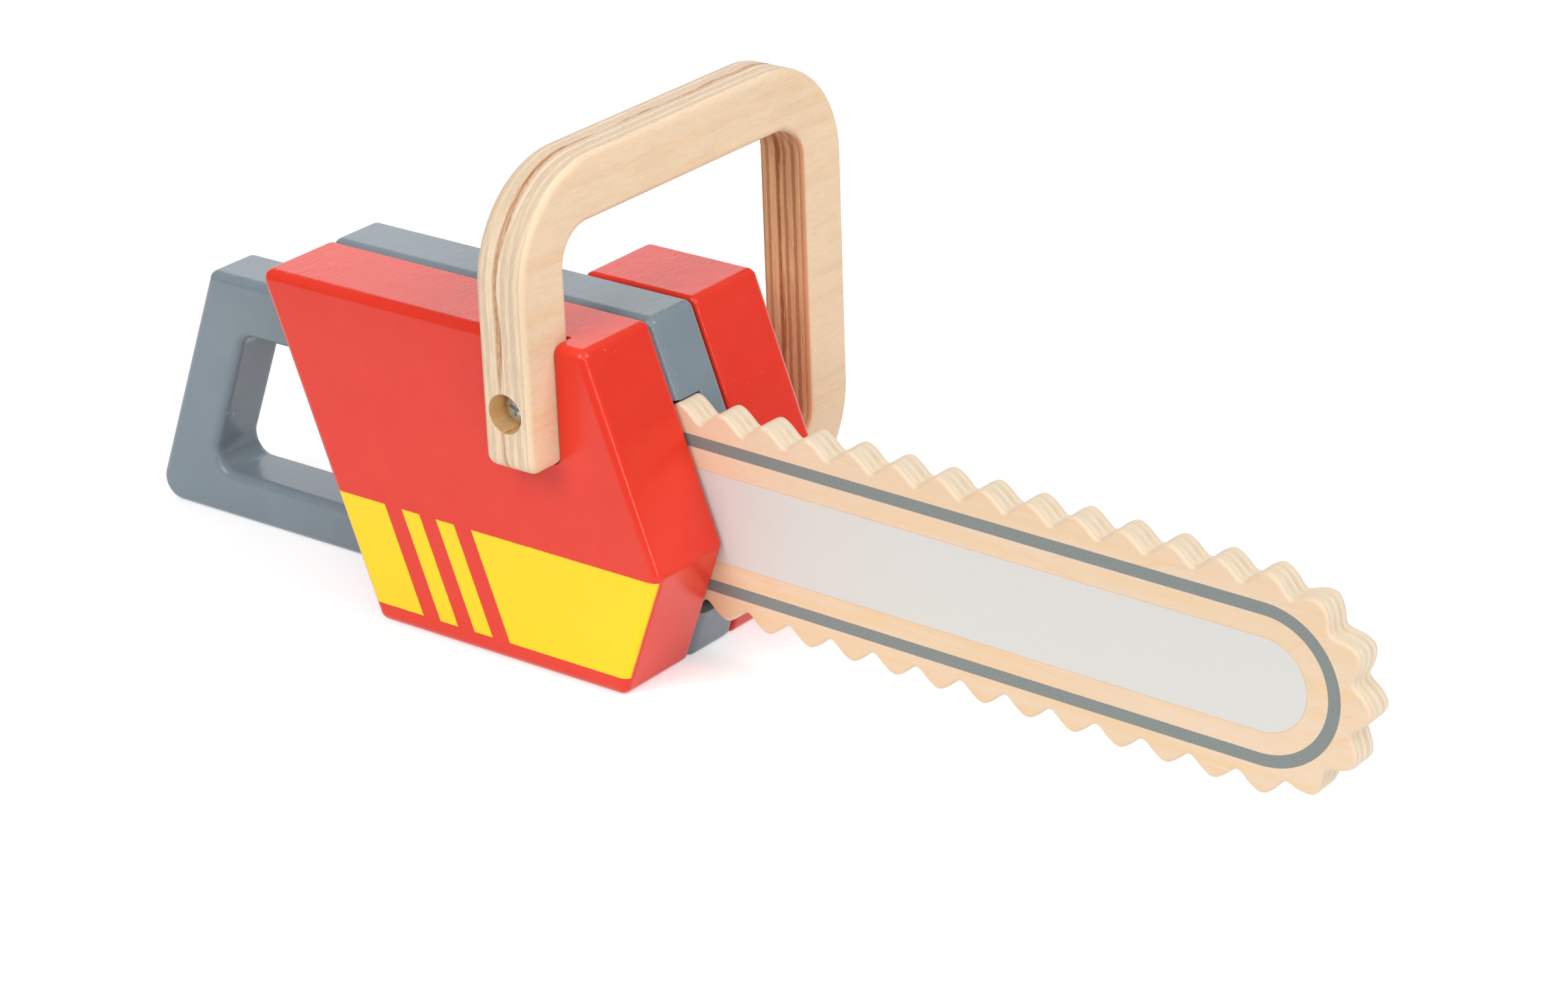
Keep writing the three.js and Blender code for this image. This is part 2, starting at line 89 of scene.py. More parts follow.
# Wrap handle
HANDLE_THICKNESS = 17.2
HANDLE_BAR = 19.8
HANDLE_WIDTH = 149.6
HANDLE_RISE = 51
HANDLE_SETBACK = 19.1
HANDLE_OUTER_RADIUS = 34
HANDLE_INNER_RADIUS = 11
HANDLE_EDGE_RADIUS = 2.5
HANDLE_TOE_RADIUS = 4.5
HANDLE_PLIES = 11
HANDLE_CORE_PLY = 4.4
LEG_LET_IN = 7.5
RIGHT_LEG_OVERLAP = 36.5
LOWER_BAR_FOOT = 14

# Yellow stripes on the right block, as distances from its leaning rear edge and from its bottom
STRIPE_BARS = ((1.8, 20.3), (27.0, 33.9), (40.4, 47.4), (54.1, 140.0))
STRIPE_ROWS = (6.1, 39.4)
STRIPE_BLUR = 0.12
STRIPE_ROUGHNESS = 0.25

# Fasteners and fits
COUNTERBORE_DIAMETER = 12
COUNTERBORE_DEPTH = 7.8
COUNTERBORE_RISE = 18
SCREW_HEAD_DIAMETER = 9.5
SCREW_HEAD_HEIGHT = 2.6
SCREW_RIM_HEIGHT = 1.2
SCREW_SHANK_DIAMETER = 4
SCREW_BITE = 20
SCREW_SINK = 8
SCREW_HEAD_ROOM = 0.6
RECESS_LENGTH = 5.4
RECESS_WIDTH = 1.2
RECESS_DEPTH = 1.6
RECESS_TURN = 0.25
DOWEL_DIAMETER = 8
DOWEL_BITE = 14
DOWEL_MARGIN = 16
DOWEL_DROP = 12
DOWEL_CLEAR = 5
LOWER_DOWEL_RISE = 8
BLADE_DOWEL_BITE = 6
FIT_GAP = 0.3
POCKET_EDGE_RADIUS = 1
POCKET_END_RADIUS = 0.2
REBATE_EDGE_RADIUS = 0.5

# Mesh making
BEVELLED_FROM = math.radians(35)
SHARP_FROM = math.radians(38)
WELD_DISTANCE = 1e-6

# Places that follow from those sizes
BOARD_RIGHT_Y = -BOARD_THICKNESS / 2
BOARD_LEFT_Y = BOARD_THICKNESS / 2
RIGHT_FACE_Y = BOARD_RIGHT_Y - BLOCK_THICKNESS
LEFT_FACE_Y = BOARD_LEFT_Y + BLOCK_THICKNESS
NOSE_RUN = (BODY_HEIGHT - CHIN_HEIGHT) * BODY_LEAN
CHIN_RUN = CHIN_HEIGHT * BODY_LEAN
BOTTOM_LENGTH = BODY_TOP_LENGTH + NOSE_RUN - CHIN_RUN - BODY_HEIGHT * BODY_LEAN
BOTTOM_REAR_X = -BOTTOM_LENGTH / 2
BOTTOM_FRONT_X = BOTTOM_LENGTH / 2
CHIN_X = BOTTOM_FRONT_X + CHIN_RUN
TOP_FRONT_X = CHIN_X - NOSE_RUN
TOP_REAR_X = TOP_FRONT_X - BODY_TOP_LENGTH
LEFT_BLOCK_REAR_X = TOP_FRONT_X - LEFT_BLOCK_TOP_LENGTH
HANDLE_CENTRE_X = TOP_FRONT_X - HANDLE_SETBACK
HANDLE_TOP_Z = BODY_HEIGHT + HANDLE_RISE
HANDLE_RIGHT_Y = RIGHT_FACE_Y + LEG_LET_IN - HANDLE_BAR
HANDLE_LEFT_Y = HANDLE_RIGHT_Y + HANDLE_WIDTH
RIGHT_LEG_FOOT = BODY_HEIGHT - RIGHT_LEG_OVERLAP
LOWER_BAR_END_Y = LEFT_FACE_Y - LEG_LET_IN
SCREW_Z = RIGHT_LEG_FOOT + COUNTERBORE_RISE
LOWER_SCREW_Z = LOWER_BAR_FOOT + HANDLE_BAR / 2
RIGHT_SCREW_SEAT_Y = HANDLE_RIGHT_Y + COUNTERBORE_DEPTH
RIGHT_SCREW_TIP_Y = RIGHT_FACE_Y + LEG_LET_IN + SCREW_BITE
LOWER_SCREW_SEAT_Y = BOARD_LEFT_Y + SCREW_SINK
LOWER_SCREW_TIP_Y = LOWER_BAR_END_Y + SCREW_BITE
TOOTHED_PITCHES = STRAIGHT_TEETH + 0.5
TANG_REAR_X = -TOOTHED_PITCHES * TOOTH_PITCH - TANG_LENGTH
BLADE_CENTRE_Y = BOARD_RIGHT_Y + FIT_GAP + BLADE_THICKNESS / 2
REBATE_DEPTH = BLADE_THICKNESS + 2 * FIT_GAP
BLADE_NOSE = Vector((CHIN_X + BLADE_OVERHANG, BLADE_CENTRE_Y, BLADE_AXIS_HEIGHT))
BLADE_SEAT = Matrix.Translation(BLADE_NOSE) @ Matrix.Rotation(BLADE_DROOP, 4, "Y")


def body_rear_x(z):
    """Where the body's leaning rear edge is at the height z."""
    return BOTTOM_REAR_X - z * BODY_LEAN


# Meshes: boards with evenly rounded edges, cut by plain tools
def outline(corners, inset, steps):
    """Points of a closed outline through corners (u, v, radius), moved inwards by inset."""
    points = []
    for i, (u, v, radius) in enumerate(corners):
        here = Vector((u, v))
        before = (here - Vector(corners[i - 1][:2])).normalized()
        after = (Vector(corners[(i + 1) % len(corners)][:2]) - here).normalized()
        normal_before = Vector((-before.y, before.x))
        normal_after = Vector((-after.y, after.x))
        turn = math.atan2(before.cross(after), before.dot(after))
        side = math.copysign(1, turn)
        lean = (normal_before + normal_after) / (1 + normal_before.dot(normal_after))
        centre = here + lean * side * radius
        start = math.atan2(normal_before.y, normal_before.x)
        for k in range(steps + 1):
            angle = start + turn * k / steps
            points.append(centre - Vector((math.cos(angle), math.sin(angle))) * (side * radius - inset))
    return points


def rounded_board(corners, thickness, edge_radii, place, hole=(), steps=12, edge_steps=8):
    """A closed board whose two faces have edge radii of their own; place(u, v, depth) gives a point."""
    first, last = edge_radii
    arc = [k / edge_steps * math.pi / 2 for k in range(edge_steps + 1)]
    levels = [(first * (1 - math.sin(a)), first * (1 - math.cos(a))) for a in arc]
    levels += [(last * (1 - math.sin(a)), thickness - last * (1 - math.cos(a))) for a in reversed(arc)]
    work = bmesh.new()
    loops = [(1, corners), (-1, hole)] if hole else [(1, corners)]
    ends = {0: [], len(levels) - 1: []}
    for sign, path in loops:
        rings = []
        for inset, depth in levels:
            flat = outline(path, sign * inset, steps)
            rings.append([work.verts.new(Vector(place(p.x, p.y, depth)) * MM) for p in flat])
        for low, high in zip(rings, rings[1:]):
            for i in range(len(low)):
                j = (i + 1) % len(low)
                work.faces.new((low[i], low[j], high[j], high[i]))
        for level in ends:
            flat = [Vector((p.x, p.y, 0)) for p in outline(path, sign * levels[level][0], steps)]
            ends[level].append((flat, rings[level]))
    for parts in ends.values():
        if len(parts) == 1:
            work.faces.new(parts[0][1])
            continue
        verts = [v for _, ring in parts for v in ring]
        for triangle in tessellate_polygon([flat for flat, _ in parts]):
            work.faces.new([verts[i] for i in triangle])
    bmesh.ops.recalc_face_normals(work, faces=work.faces)
    return mesh_object("board", work)


def mesh_object(name, work):
    mesh = bpy.data.meshes.new(name)
    work.to_mesh(mesh)
    work.free()
    made = bpy.data.objects.new(name, mesh)
    bpy.context.scene.collection.objects.link(made)
    return made


def box_tool(low, high):
    work = bmesh.new()
    bmesh.ops.create_cube(work, size=1)
    size = Vector(high) - Vector(low)
    middle = (Vector(high) + Vector(low)) / 2
    for v in work.verts:
        v.co = (middle + v.co * size) * MM
    return mesh_object("box_tool", work)


def cross_tool(length, width, from_y, to_y):
    """A cutter along Y with a cross as its section."""
    quarter = [(length / 2, -width / 2), (length / 2, width / 2), (width / 2, width / 2)]
    section = []
    for _ in range(4):
        section += quarter
        quarter = [(-z, x) for x, z in quarter]
    work = bmesh.new()
    low, high = [[work.verts.new(Vector((x, y, z)) * MM) for x, z in section] for y in (from_y, to_y)]
    work.faces.new(low)
    work.faces.new(high)
    for i in range(len(section)):
        work.faces.new((low[i - 1], low[i], high[i], high[i - 1]))
    bmesh.ops.recalc_face_normals(work, faces=work.faces)
    return mesh_object("cross_tool", work)


def drill(diameter, from_y, to_y, x, z, sides=64):
    """A round cutter along Y."""
    work = bmesh.new()
    middle = Vector((x, (from_y + to_y) / 2, z)) * MM
    lie = Matrix.Translation(middle) @ Matrix.Rotation(math.pi / 2, 4, "X")
    radius = diameter / 2 * MM
    bmesh.ops.create_cone(work, cap_ends=True, segments=sides, radius1=radius, radius2=radius,
                          depth=(to_y - from_y) * MM, matrix=lie)
    return mesh_object("drill", work)


def turned(profile, place, sides=40):
    """A solid turned about a line along Y, from pairs of radius and y that start and end on that line."""
    work = bmesh.new()
    rings = []
    for radius, y in profile:
        ring = []
        for k in range(sides if radius else 1):
            angle = 2 * math.pi * k / sides
            point = place + Vector((radius * math.cos(angle), y, radius * math.sin(angle)))
            ring.append(work.verts.new(point * MM))
        rings.append(ring)
    for low, high in zip(rings, rings[1:]):
        for k in range(sides):
            j = k + 1
            corners = [low[k % len(low)], low[j % len(low)], high[j % len(high)], high[k % len(high)]]
            work.faces.new(dict.fromkeys(corners))
    bmesh.ops.recalc_face_normals(work, faces=work.faces)
    return mesh_object("turned", work)


def seated(tool):
    """A cutter drawn in the blade's own frame, carried to the blade's seat."""
    seat = Matrix.Scale(MM, 4) @ BLADE_SEAT @ Matrix.Scale(1 / MM, 4)
    tool.data.transform(seat)
    return tool


def bake_modifiers(made):
    graph = bpy.context.evaluated_depsgraph_get()
    mesh = bpy.data.meshes.new_from_object(made.evaluated_get(graph), depsgraph=graph)
    made.modifiers.clear()
    old = made.data
    made.data = mesh
    bpy.data.meshes.remove(old)


def cut(made, tools):
    for tool in tools:
        saw = made.modifiers.new("cut", "BOOLEAN")
        saw.operation = "DIFFERENCE"
        saw.solver = "EXACT"
        saw.object = tool
    bake_modifiers(made)
    for tool in tools:
        bpy.data.objects.remove(tool)


def soften(made, radius, wanted, segments=3):
    """Rounds the sharp outer edges for which wanted(middle in millimetres) holds."""
    work = bmesh.new()
    work.from_mesh(made.data)
    bmesh.ops.remove_doubles(work, verts=work.verts, dist=WELD_DISTANCE)
    edges = []
    for e in work.edges:
        if len(e.link_faces) == 2 and e.calc_face_angle_signed() > BEVELLED_FROM:
            if wanted((e.verts[0].co + e.verts[1].co) / 2 / MM):
                edges.append(e)
    bmesh.ops.bevel(work, geom=edges, offset=radius * MM, segments=segments, profile=0.5,
                    affect="EDGES", clamp_overlap=True)
    work.to_mesh(made.data)
    work.free()


def shade(made):
    """Smooth shading that keeps flat faces flat and inner corners sharp."""
    mesh = made.data
    mesh.shade_smooth()
    mesh.set_sharp_from_angle(angle=SHARP_FROM)
    weigh = made.modifiers.new("weigh", "WEIGHTED_NORMAL")
    weigh.keep_sharp = True
    weigh.weight = 90
    bake_modifiers(made)


def finish_piece(made, name, node, material):
    shade(made)
    made.name = name
    made.data.name = name
    made.data.materials.clear()
    made.data.materials.append(material)
    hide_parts(node)
    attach(made, "root")


# Shader making
class Nodes:
    """Shorthand for building a node tree."""

    def __init__(self, tree):
        self.tree = tree

    def add(self, kind, **settings):
        node = self.tree.nodes.new(kind)
        for key, value in settings.items():
            setattr(node, key, value)
        return node

    def plug(self, value, socket):
        if isinstance(value, bpy.types.NodeSocket):
            self.tree.links.new(value, socket)
        else:
            socket.default_value = value

    def math(self, operation, a, b=0.0, c=0.0, clamp=False):
        node = self.add("ShaderNodeMath", operation=operation, use_clamp=clamp)
        for value, socket in zip((a, b, c), node.inputs):
            self.plug(value, socket)
        return node.outputs[0]

    def put(self, kind, inputs, **settings):
        """Adds a node with values or links at its named inputs, and gives its first output."""
        node = self.add(kind, **settings)
        for key, value in inputs.items():
            self.plug(value, node.inputs[key])
        return node.outputs[0]

    def step(self, value, low, high):
        """0 below low, 1 above high, smooth between."""
        ends = {"Value": value, "From Min": low, "From Max": high}
        return self.put("ShaderNodeMapRange", ends, interpolation_type="SMOOTHSTEP")

    def band(self, value, low, high, blur):
        """1 between low and high, 0 outside."""
        rise = self.step(value, low - blur, low + blur)
        return self.math("MULTIPLY", rise, self.step(value, high + blur, high - blur))

    def remap(self, value, low, high, to_low, to_high):
        ends = {"Value": value, "From Min": low, "From Max": high, "To Min": to_low, "To Max": to_high}
        return self.put("ShaderNodeMapRange", ends, clamp=True)

    def mix(self, factor, a, b, blend="MIX"):
        node = self.add("ShaderNodeMix", data_type="RGBA", blend_type=blend)
        self.plug(factor, node.inputs["Factor"])
        self.plug(a, node.inputs[6])
        self.plug(b, node.inputs[7])
        return node.outputs[2]

    def tint(self, colour, factor):
        """A colour times a number."""
        return self.put("ShaderNodeVectorMath", {0: colour, "Scale": factor}, operation="SCALE")

    def mapping(self, vector, scale, location=(0, 0, 0), rotation=(0, 0, 0)):
        turned = {"Vector": vector, "Location": location, "Rotation": rotation, "Scale": scale}
        return self.put("ShaderNodeMapping", turned)

    def noise(self, vector, scale, detail=2.0, roughness=0.5, distortion=0.0):
        grain = {"Scale": scale, "Detail": detail, "Roughness": roughness, "Distortion": distortion}
        return self.put("ShaderNodeTexNoise", {"Vector": vector, **grain})

    def combine(self, x=0.0, y=0.0, z=0.0):
        return self.put("ShaderNodeCombineXYZ", {"X": x, "Y": y, "Z": z})

    def split(self, vector):
        node = self.add("ShaderNodeSeparateXYZ")
        self.plug(vector, node.inputs[0])
        return node.outputs["X"], node.outputs["Y"], node.outputs["Z"]

    def use(self, group, **values):
        node = self.add("ShaderNodeGroup", node_tree=group)
        for key, v in values.items():
            self.plug(v, node.inputs[key.replace("_", " ")])
        return node.outputs

    def object_place(self):
        return self.add("ShaderNodeTexCoord").outputs["Object"]

    def surface_normal(self):
        return self.add("ShaderNodeNewGeometry").outputs["Normal"]

    def bump(self, height, strength, distance):
        return self.put("ShaderNodeBump", {"Height": height, "Strength": strength, "Distance": distance})


def srgb(red, green, blue):
    """A colour written as 0 to 255 screen values, made linear."""
    shares = (red / 255, green / 255, blue / 255)
    linear = [c / 12.92 if c <= 0.04045 else ((c + 0.055) / 1.055) ** 2.4 for c in shares]
    return (*linear, 1.0)


def new_group(name, inputs, outputs):
    tree = bpy.data.node_groups.new(name, "ShaderNodeTree")
    for label, kind, default in inputs:
        socket = tree.interface.new_socket(label, in_out="INPUT", socket_type=kind)
        if default is not None:
            socket.default_value = default
    for label, kind in outputs:
        tree.interface.new_socket(label, in_out="OUTPUT", socket_type=kind)
    n = Nodes(tree)
    return tree, n, n.add("NodeGroupInput").outputs, n.add("NodeGroupOutput").inputs


def new_material(name, **principled):
    material = bpy.data.materials.new(name)
    material.use_nodes = True
    n = Nodes(material.node_tree)
    surface = material.node_tree.nodes["Principled BSDF"]
    for key, value in principled.items():
        surface.inputs[key.replace("_", " ")].default_value = value
    return material, n, surface.inputs


FLOAT, COLOUR, VECTOR = "NodeSocketFloat", "NodeSocketColor", "NodeSocketVector"


def make_fibre_group():
    """Wood fibres: long fine streaks in a place that is already stretched along the grain."""
    tree, n, given, out = new_group(
        "wood_fibre",
        [("Place", VECTOR, None), ("Scale", FLOAT, 1000.0), ("Contrast", FLOAT, 1.0)],
        [("Fibre", FLOAT), ("Cloud", FLOAT)],
    )
    fine = n.noise(given["Place"], given["Scale"], 3.0, 0.6)
    coarse = n.noise(given["Place"], n.math("MULTIPLY", given["Scale"], 0.22), 2.0, 0.5, 0.4)
    both = n.math("MULTIPLY_ADD", fine, 0.6, n.math("MULTIPLY", coarse, 0.4))
    centred = n.math("SUBTRACT", both, 0.5)
    n.plug(n.math("MULTIPLY_ADD", centred, given["Contrast"], 0.5, clamp=True), out["Fibre"])
    n.plug(coarse, out["Cloud"])
    return tree


def make_lacquer_group():
    """Paint on sanded wood: orange peel, raised fibres on the tops, sheen changes and small scuffs."""
    tree, n, given, out = new_group(
        "lacquer_skin",
        [("Place", VECTOR, None), ("Facing", VECTOR, None), ("Ripple", FLOAT, 1.0), ("Scuff", FLOAT, 0.5)],
        [("Height", FLOAT), ("Gloss", FLOAT), ("Scuffed", FLOAT), ("Shade", FLOAT)],
    )
    toward, _, up = n.split(given["Facing"])
    on_top = n.step(up, 0.5, 0.97)
    across = n.mapping(given["Place"], (1.0, 0.26, 1.0), rotation=(0, 0, 0.2))
    streaks = n.noise(across, 620.0, 2.0, 0.5, 0.5)
    patches = n.noise(given["Place"], 42.0, 2.0, 0.6)
    ripple_depth = n.math("MULTIPLY", n.math("MULTIPLY", given["Ripple"], on_top), 1.3)
    ripple_depth = n.math("MULTIPLY", ripple_depth, n.remap(patches, 0.35, 0.65, 0.25, 1.0))
    peel = n.noise(given["Place"], 2400.0, 2.0, 0.6)
    height = n.math("MULTIPLY_ADD", streaks, ripple_depth, n.math("MULTIPLY", peel, 0.3))
    n.plug(height, out["Height"])
    smear = n.noise(given["Place"], 60.0, 3.0, 0.6)
    n.plug(n.remap(smear, 0.3, 0.7, -0.04, 0.05), out["Gloss"])
    upright = n.mapping(given["Place"], (1.0, 1.0, 0.1), rotation=(0, 0.3, 0))
    scratch = n.noise(upright, 700.0, 1.0, 0.5)
    fleck = n.noise(given["Place"], 900.0, 1.0, 0.5)
    where = n.noise(given["Place"], 46.0, 1.0, 0.5)
    on_front = n.step(toward, 0.6, 0.85)
    scratched = n.math("MULTIPLY", n.step(scratch, 0.72, 0.78), n.math("MULTIPLY", on_front, 0.5))
    flecked = n.math("MAXIMUM", n.step(fleck, 0.82, 0.86), scratched)
    off_top = n.step(up, 0.6, 0.4)
    scuff = n.math("MULTIPLY", flecked, n.math("MULTIPLY", n.step(where, 0.5, 0.6), off_top))
    n.plug(n.math("MULTIPLY", scuff, given["Scuff"]), out["Scuffed"])
    n.plug(n.remap(smear, 0.25, 0.75, 0.96, 1.03), out["Shade"])
    return tree


def make_ply_group(fibre):
    """Plywood from any side: face veneer, and on cut edges layers whose grain turns by a right angle."""
    tree, n, given, out = new_group(
        "ply_layers",
        [
            ("Depth", FLOAT, 0.0), ("Plies", FLOAT, 9.0), ("Place", VECTOR, None), ("Across", VECTOR, None),
            ("Along", VECTOR, None), ("Edge", FLOAT, 1.0), ("End Grain", FLOAT, 0.0),
            ("Face Colour", COLOUR, None), ("Light Ply", COLOUR, None), ("Dark Ply", COLOUR, None),
            ("Core Ply", COLOUR, None), ("Core Index", FLOAT, -9.0), ("Face Contrast", FLOAT, 1.0),
            ("Edge Contrast", FLOAT, 1.0), ("Uneven", FLOAT, 0.0),
        ],
        [("Colour", COLOUR), ("Height", FLOAT), ("Fibre", FLOAT), ("Dark", FLOAT)],
    )
    wobble = n.noise(given["Along"], 260.0, 3.0, 0.6)
    dashes = n.noise(n.mapping(given["Along"], (1.0, 3.5, 3.5)), 2200.0, 3.0, 0.7)
    depth = n.math("MULTIPLY", given["Depth"], given["Plies"])
    depth = n.math("MULTIPLY_ADD", n.math("SUBTRACT", wobble, 0.5), 0.5, depth)
    depth = n.math("MULTIPLY_ADD", n.math("SUBTRACT", dashes, 0.5), 0.25, depth)
    uneven = n.noise(n.combine(x=given["Depth"]), 6.0, 1.0)
    depth = n.math("MULTIPLY_ADD", n.math("SUBTRACT", uneven, 0.5), given["Uneven"], depth)
    layer = n.math("FLOOR", depth)
    inside = n.math("SUBTRACT", depth, layer)
    odd = n.math("MODULO", n.math("ADD", layer, 1.0), 2.0)
    flip = n.math("ABSOLUTE", n.math("SUBTRACT", odd, given["End Grain"]))
    tone = n.add("ShaderNodeTexWhiteNoise", noise_dimensions="1D")
    n.plug(layer, tone.inputs["W"])
    grain_along = n.use(fibre, Place=given["Along"], Scale=2300.0, Contrast=2.0)
    fibres = n.math("MULTIPLY_ADD", n.math("SUBTRACT", grain_along["Fibre"], dashes), flip, dashes)
    colour = n.mix(flip, given["Dark Ply"], given["Light Ply"])
    off_core = n.math("ABSOLUTE", n.math("SUBTRACT", depth, n.math("ADD", given["Core Index"], 0.5)))
    frayed = n.remap(grain_along["Cloud"], 0.3, 0.7, -0.3, 0.4)
    vein = n.step(n.math("ADD", off_core, frayed), 0.8, 0.45)
    core_shade = n.mix(n.remap(fibres, 0.35, 0.65, 0.0, 0.7), given["Core Ply"], colour)
    colour = n.mix(vein, colour, core_shade)
    shade = n.math("MULTIPLY_ADD", tone.outputs["Value"], 0.08, 0.95)
    shade = n.math("MULTIPLY", shade, n.remap(fibres, 0.32, 0.68, 0.87, 1.07))
    glue = n.math("MULTIPLY", n.step(inside, 0.14, 0.0), 0.12)
    shade = n.math("MULTIPLY", shade, n.math("SUBTRACT", 1.0, glue))
    shade = n.math("MULTIPLY_ADD", n.math("SUBTRACT", shade, 1.0), given["Edge Contrast"], 1.0)
    layered = n.tint(colour, shade)
    face_grain = n.noise(given["Across"], 3800.0, 3.0, 0.65)
    flecks = n.noise(given["Across"], 6500.0, 1.0, 0.5)
    cloud = n.noise(given["Place"], 35.0, 2.0, 0.5)
    face_tone = n.remap(face_grain, 0.3, 0.7, 0.95, 1.04)
    face_tone = n.math("MULTIPLY", face_tone, n.remap(flecks, 0.6, 0.75, 1.0, 0.92))
    face_tone = n.math("MULTIPLY", face_tone, n.remap(cloud, 0.3, 0.7, 0.985, 1.015))
    face_shade = n.math("MULTIPLY_ADD", n.math("SUBTRACT", face_tone, 1.0), given["Face Contrast"], 1.0)
    face = n.tint(given["Face Colour"], face_shade)
    off_middle = n.math("ABSOLUTE", n.math("SUBTRACT", given["Depth"], 0.5))
    veneer_start = n.math("SUBTRACT", 0.5, n.math("DIVIDE", 0.75, given["Plies"]))
    outer = n.math("GREATER_THAN", off_middle, veneer_start)
    cut_side = n.math("MULTIPLY", given["Edge"], n.math("SUBTRACT", 1.0, outer))
    n.plug(n.mix(cut_side, face, layered), out["Colour"])
    rise = n.math("SUBTRACT", fibres, face_grain)
    n.plug(n.math("MULTIPLY_ADD", rise, cut_side, face_grain), out["Height"])
    n.plug(face_grain, out["Fibre"])
    n.plug(n.math("SUBTRACT", 1.0, flip), out["Dark"])
    return tree


fibre_group = make_fibre_group()
lacquer_group = make_lacquer_group()
ply_group = make_ply_group(fibre_group)

RED = srgb(225, 57, 38)
RED_DEEP = srgb(221, 50, 32)
YELLOW = srgb(243, 212, 8)
GREY = srgb(125, 139, 147)
GREY_DEEP = srgb(119, 133, 142)
SCUFF = srgb(240, 226, 220)
PAINT_ROUGHNESS = 0.14
# Warmer, darker colours multiplied onto the cut edge inside the far leg
INNER_EDGE_LIGHT = srgb(255, 230, 192)
INNER_EDGE_DARK = srgb(226, 172, 134)
FACE_STREAK = srgb(248, 224, 190)
BORE_TINT = srgb(255, 236, 196)
GRAIN_LINE = srgb(231, 188, 138)
HONEY_STREAK = srgb(229, 198, 157)
PRINT_DARK = (srgb(102, 111, 110), srgb(144, 151, 147))
PRINT_PALE = (srgb(208, 207, 203), srgb(217, 215, 210))
PRINT_EDGE = srgb(205, 178, 150)


def paint_stripes(n, place, facing, red):
    """Two blocks and two slim bars of yellow on the outer face, all leaning with its rear edge."""
    x, _, z = n.split(place)
    grain = n.math("SUBTRACT", n.noise(place, 1500.0, 1.0), 0.5)
    rough = n.math("MULTIPLY", grain, STRIPE_ROUGHNESS * MM)
    lean = n.math("MULTIPLY_ADD", z, BODY_LEAN, x)
    from_rear = n.math("ADD", n.math("SUBTRACT", lean, BOTTOM_REAR_X * MM), rough)
    blur = STRIPE_BLUR * MM
    bars = 0.0
    for low, high in STRIPE_BARS:
        bars = n.math("ADD", bars, n.band(from_rear, low * MM, high * MM, blur))
    low, high = STRIPE_ROWS
    rows = n.band(n.math("ADD", z, rough), low * MM, high * MM, blur)
    side = n.math("MULTIPLY", n.split(facing)[1], -1.0)
    ragged = n.math("MULTIPLY_ADD", n.noise(place, 1600.0, 3.0, 0.6), 0.14, -0.07)
    outer = n.step(n.math("ADD", side, ragged), 0.36, 0.62)
    mask = n.math("MULTIPLY", n.math("MULTIPLY", bars, rows), outer, clamp=True)
    return n.mix(mask, red, YELLOW)


def make_paint(name, light, deep, stripes=False, ripple=1.0):
    material, n, skin = new_material(name, Roughness=PAINT_ROUGHNESS, Specular_IOR_Level=0.34)
    place, facing = n.object_place(), n.surface_normal()
    lacquer = n.use(lacquer_group, Place=place, Facing=facing, Ripple=ripple, Scuff=0.55)
    colour = n.mix(n.remap(lacquer["Shade"], 0.96, 1.03, 0.0, 1.0), deep, light)
    if stripes:
        colour = paint_stripes(n, place, facing, colour)
    n.plug(n.mix(lacquer["Scuffed"], colour, SCUFF), skin["Base Color"])
    n.plug(n.math("ADD", lacquer["Gloss"], PAINT_ROUGHNESS), skin["Roughness"])
    n.plug(n.bump(lacquer["Height"], 1.0, 0.16 * MM), skin["Normal"])
    return material


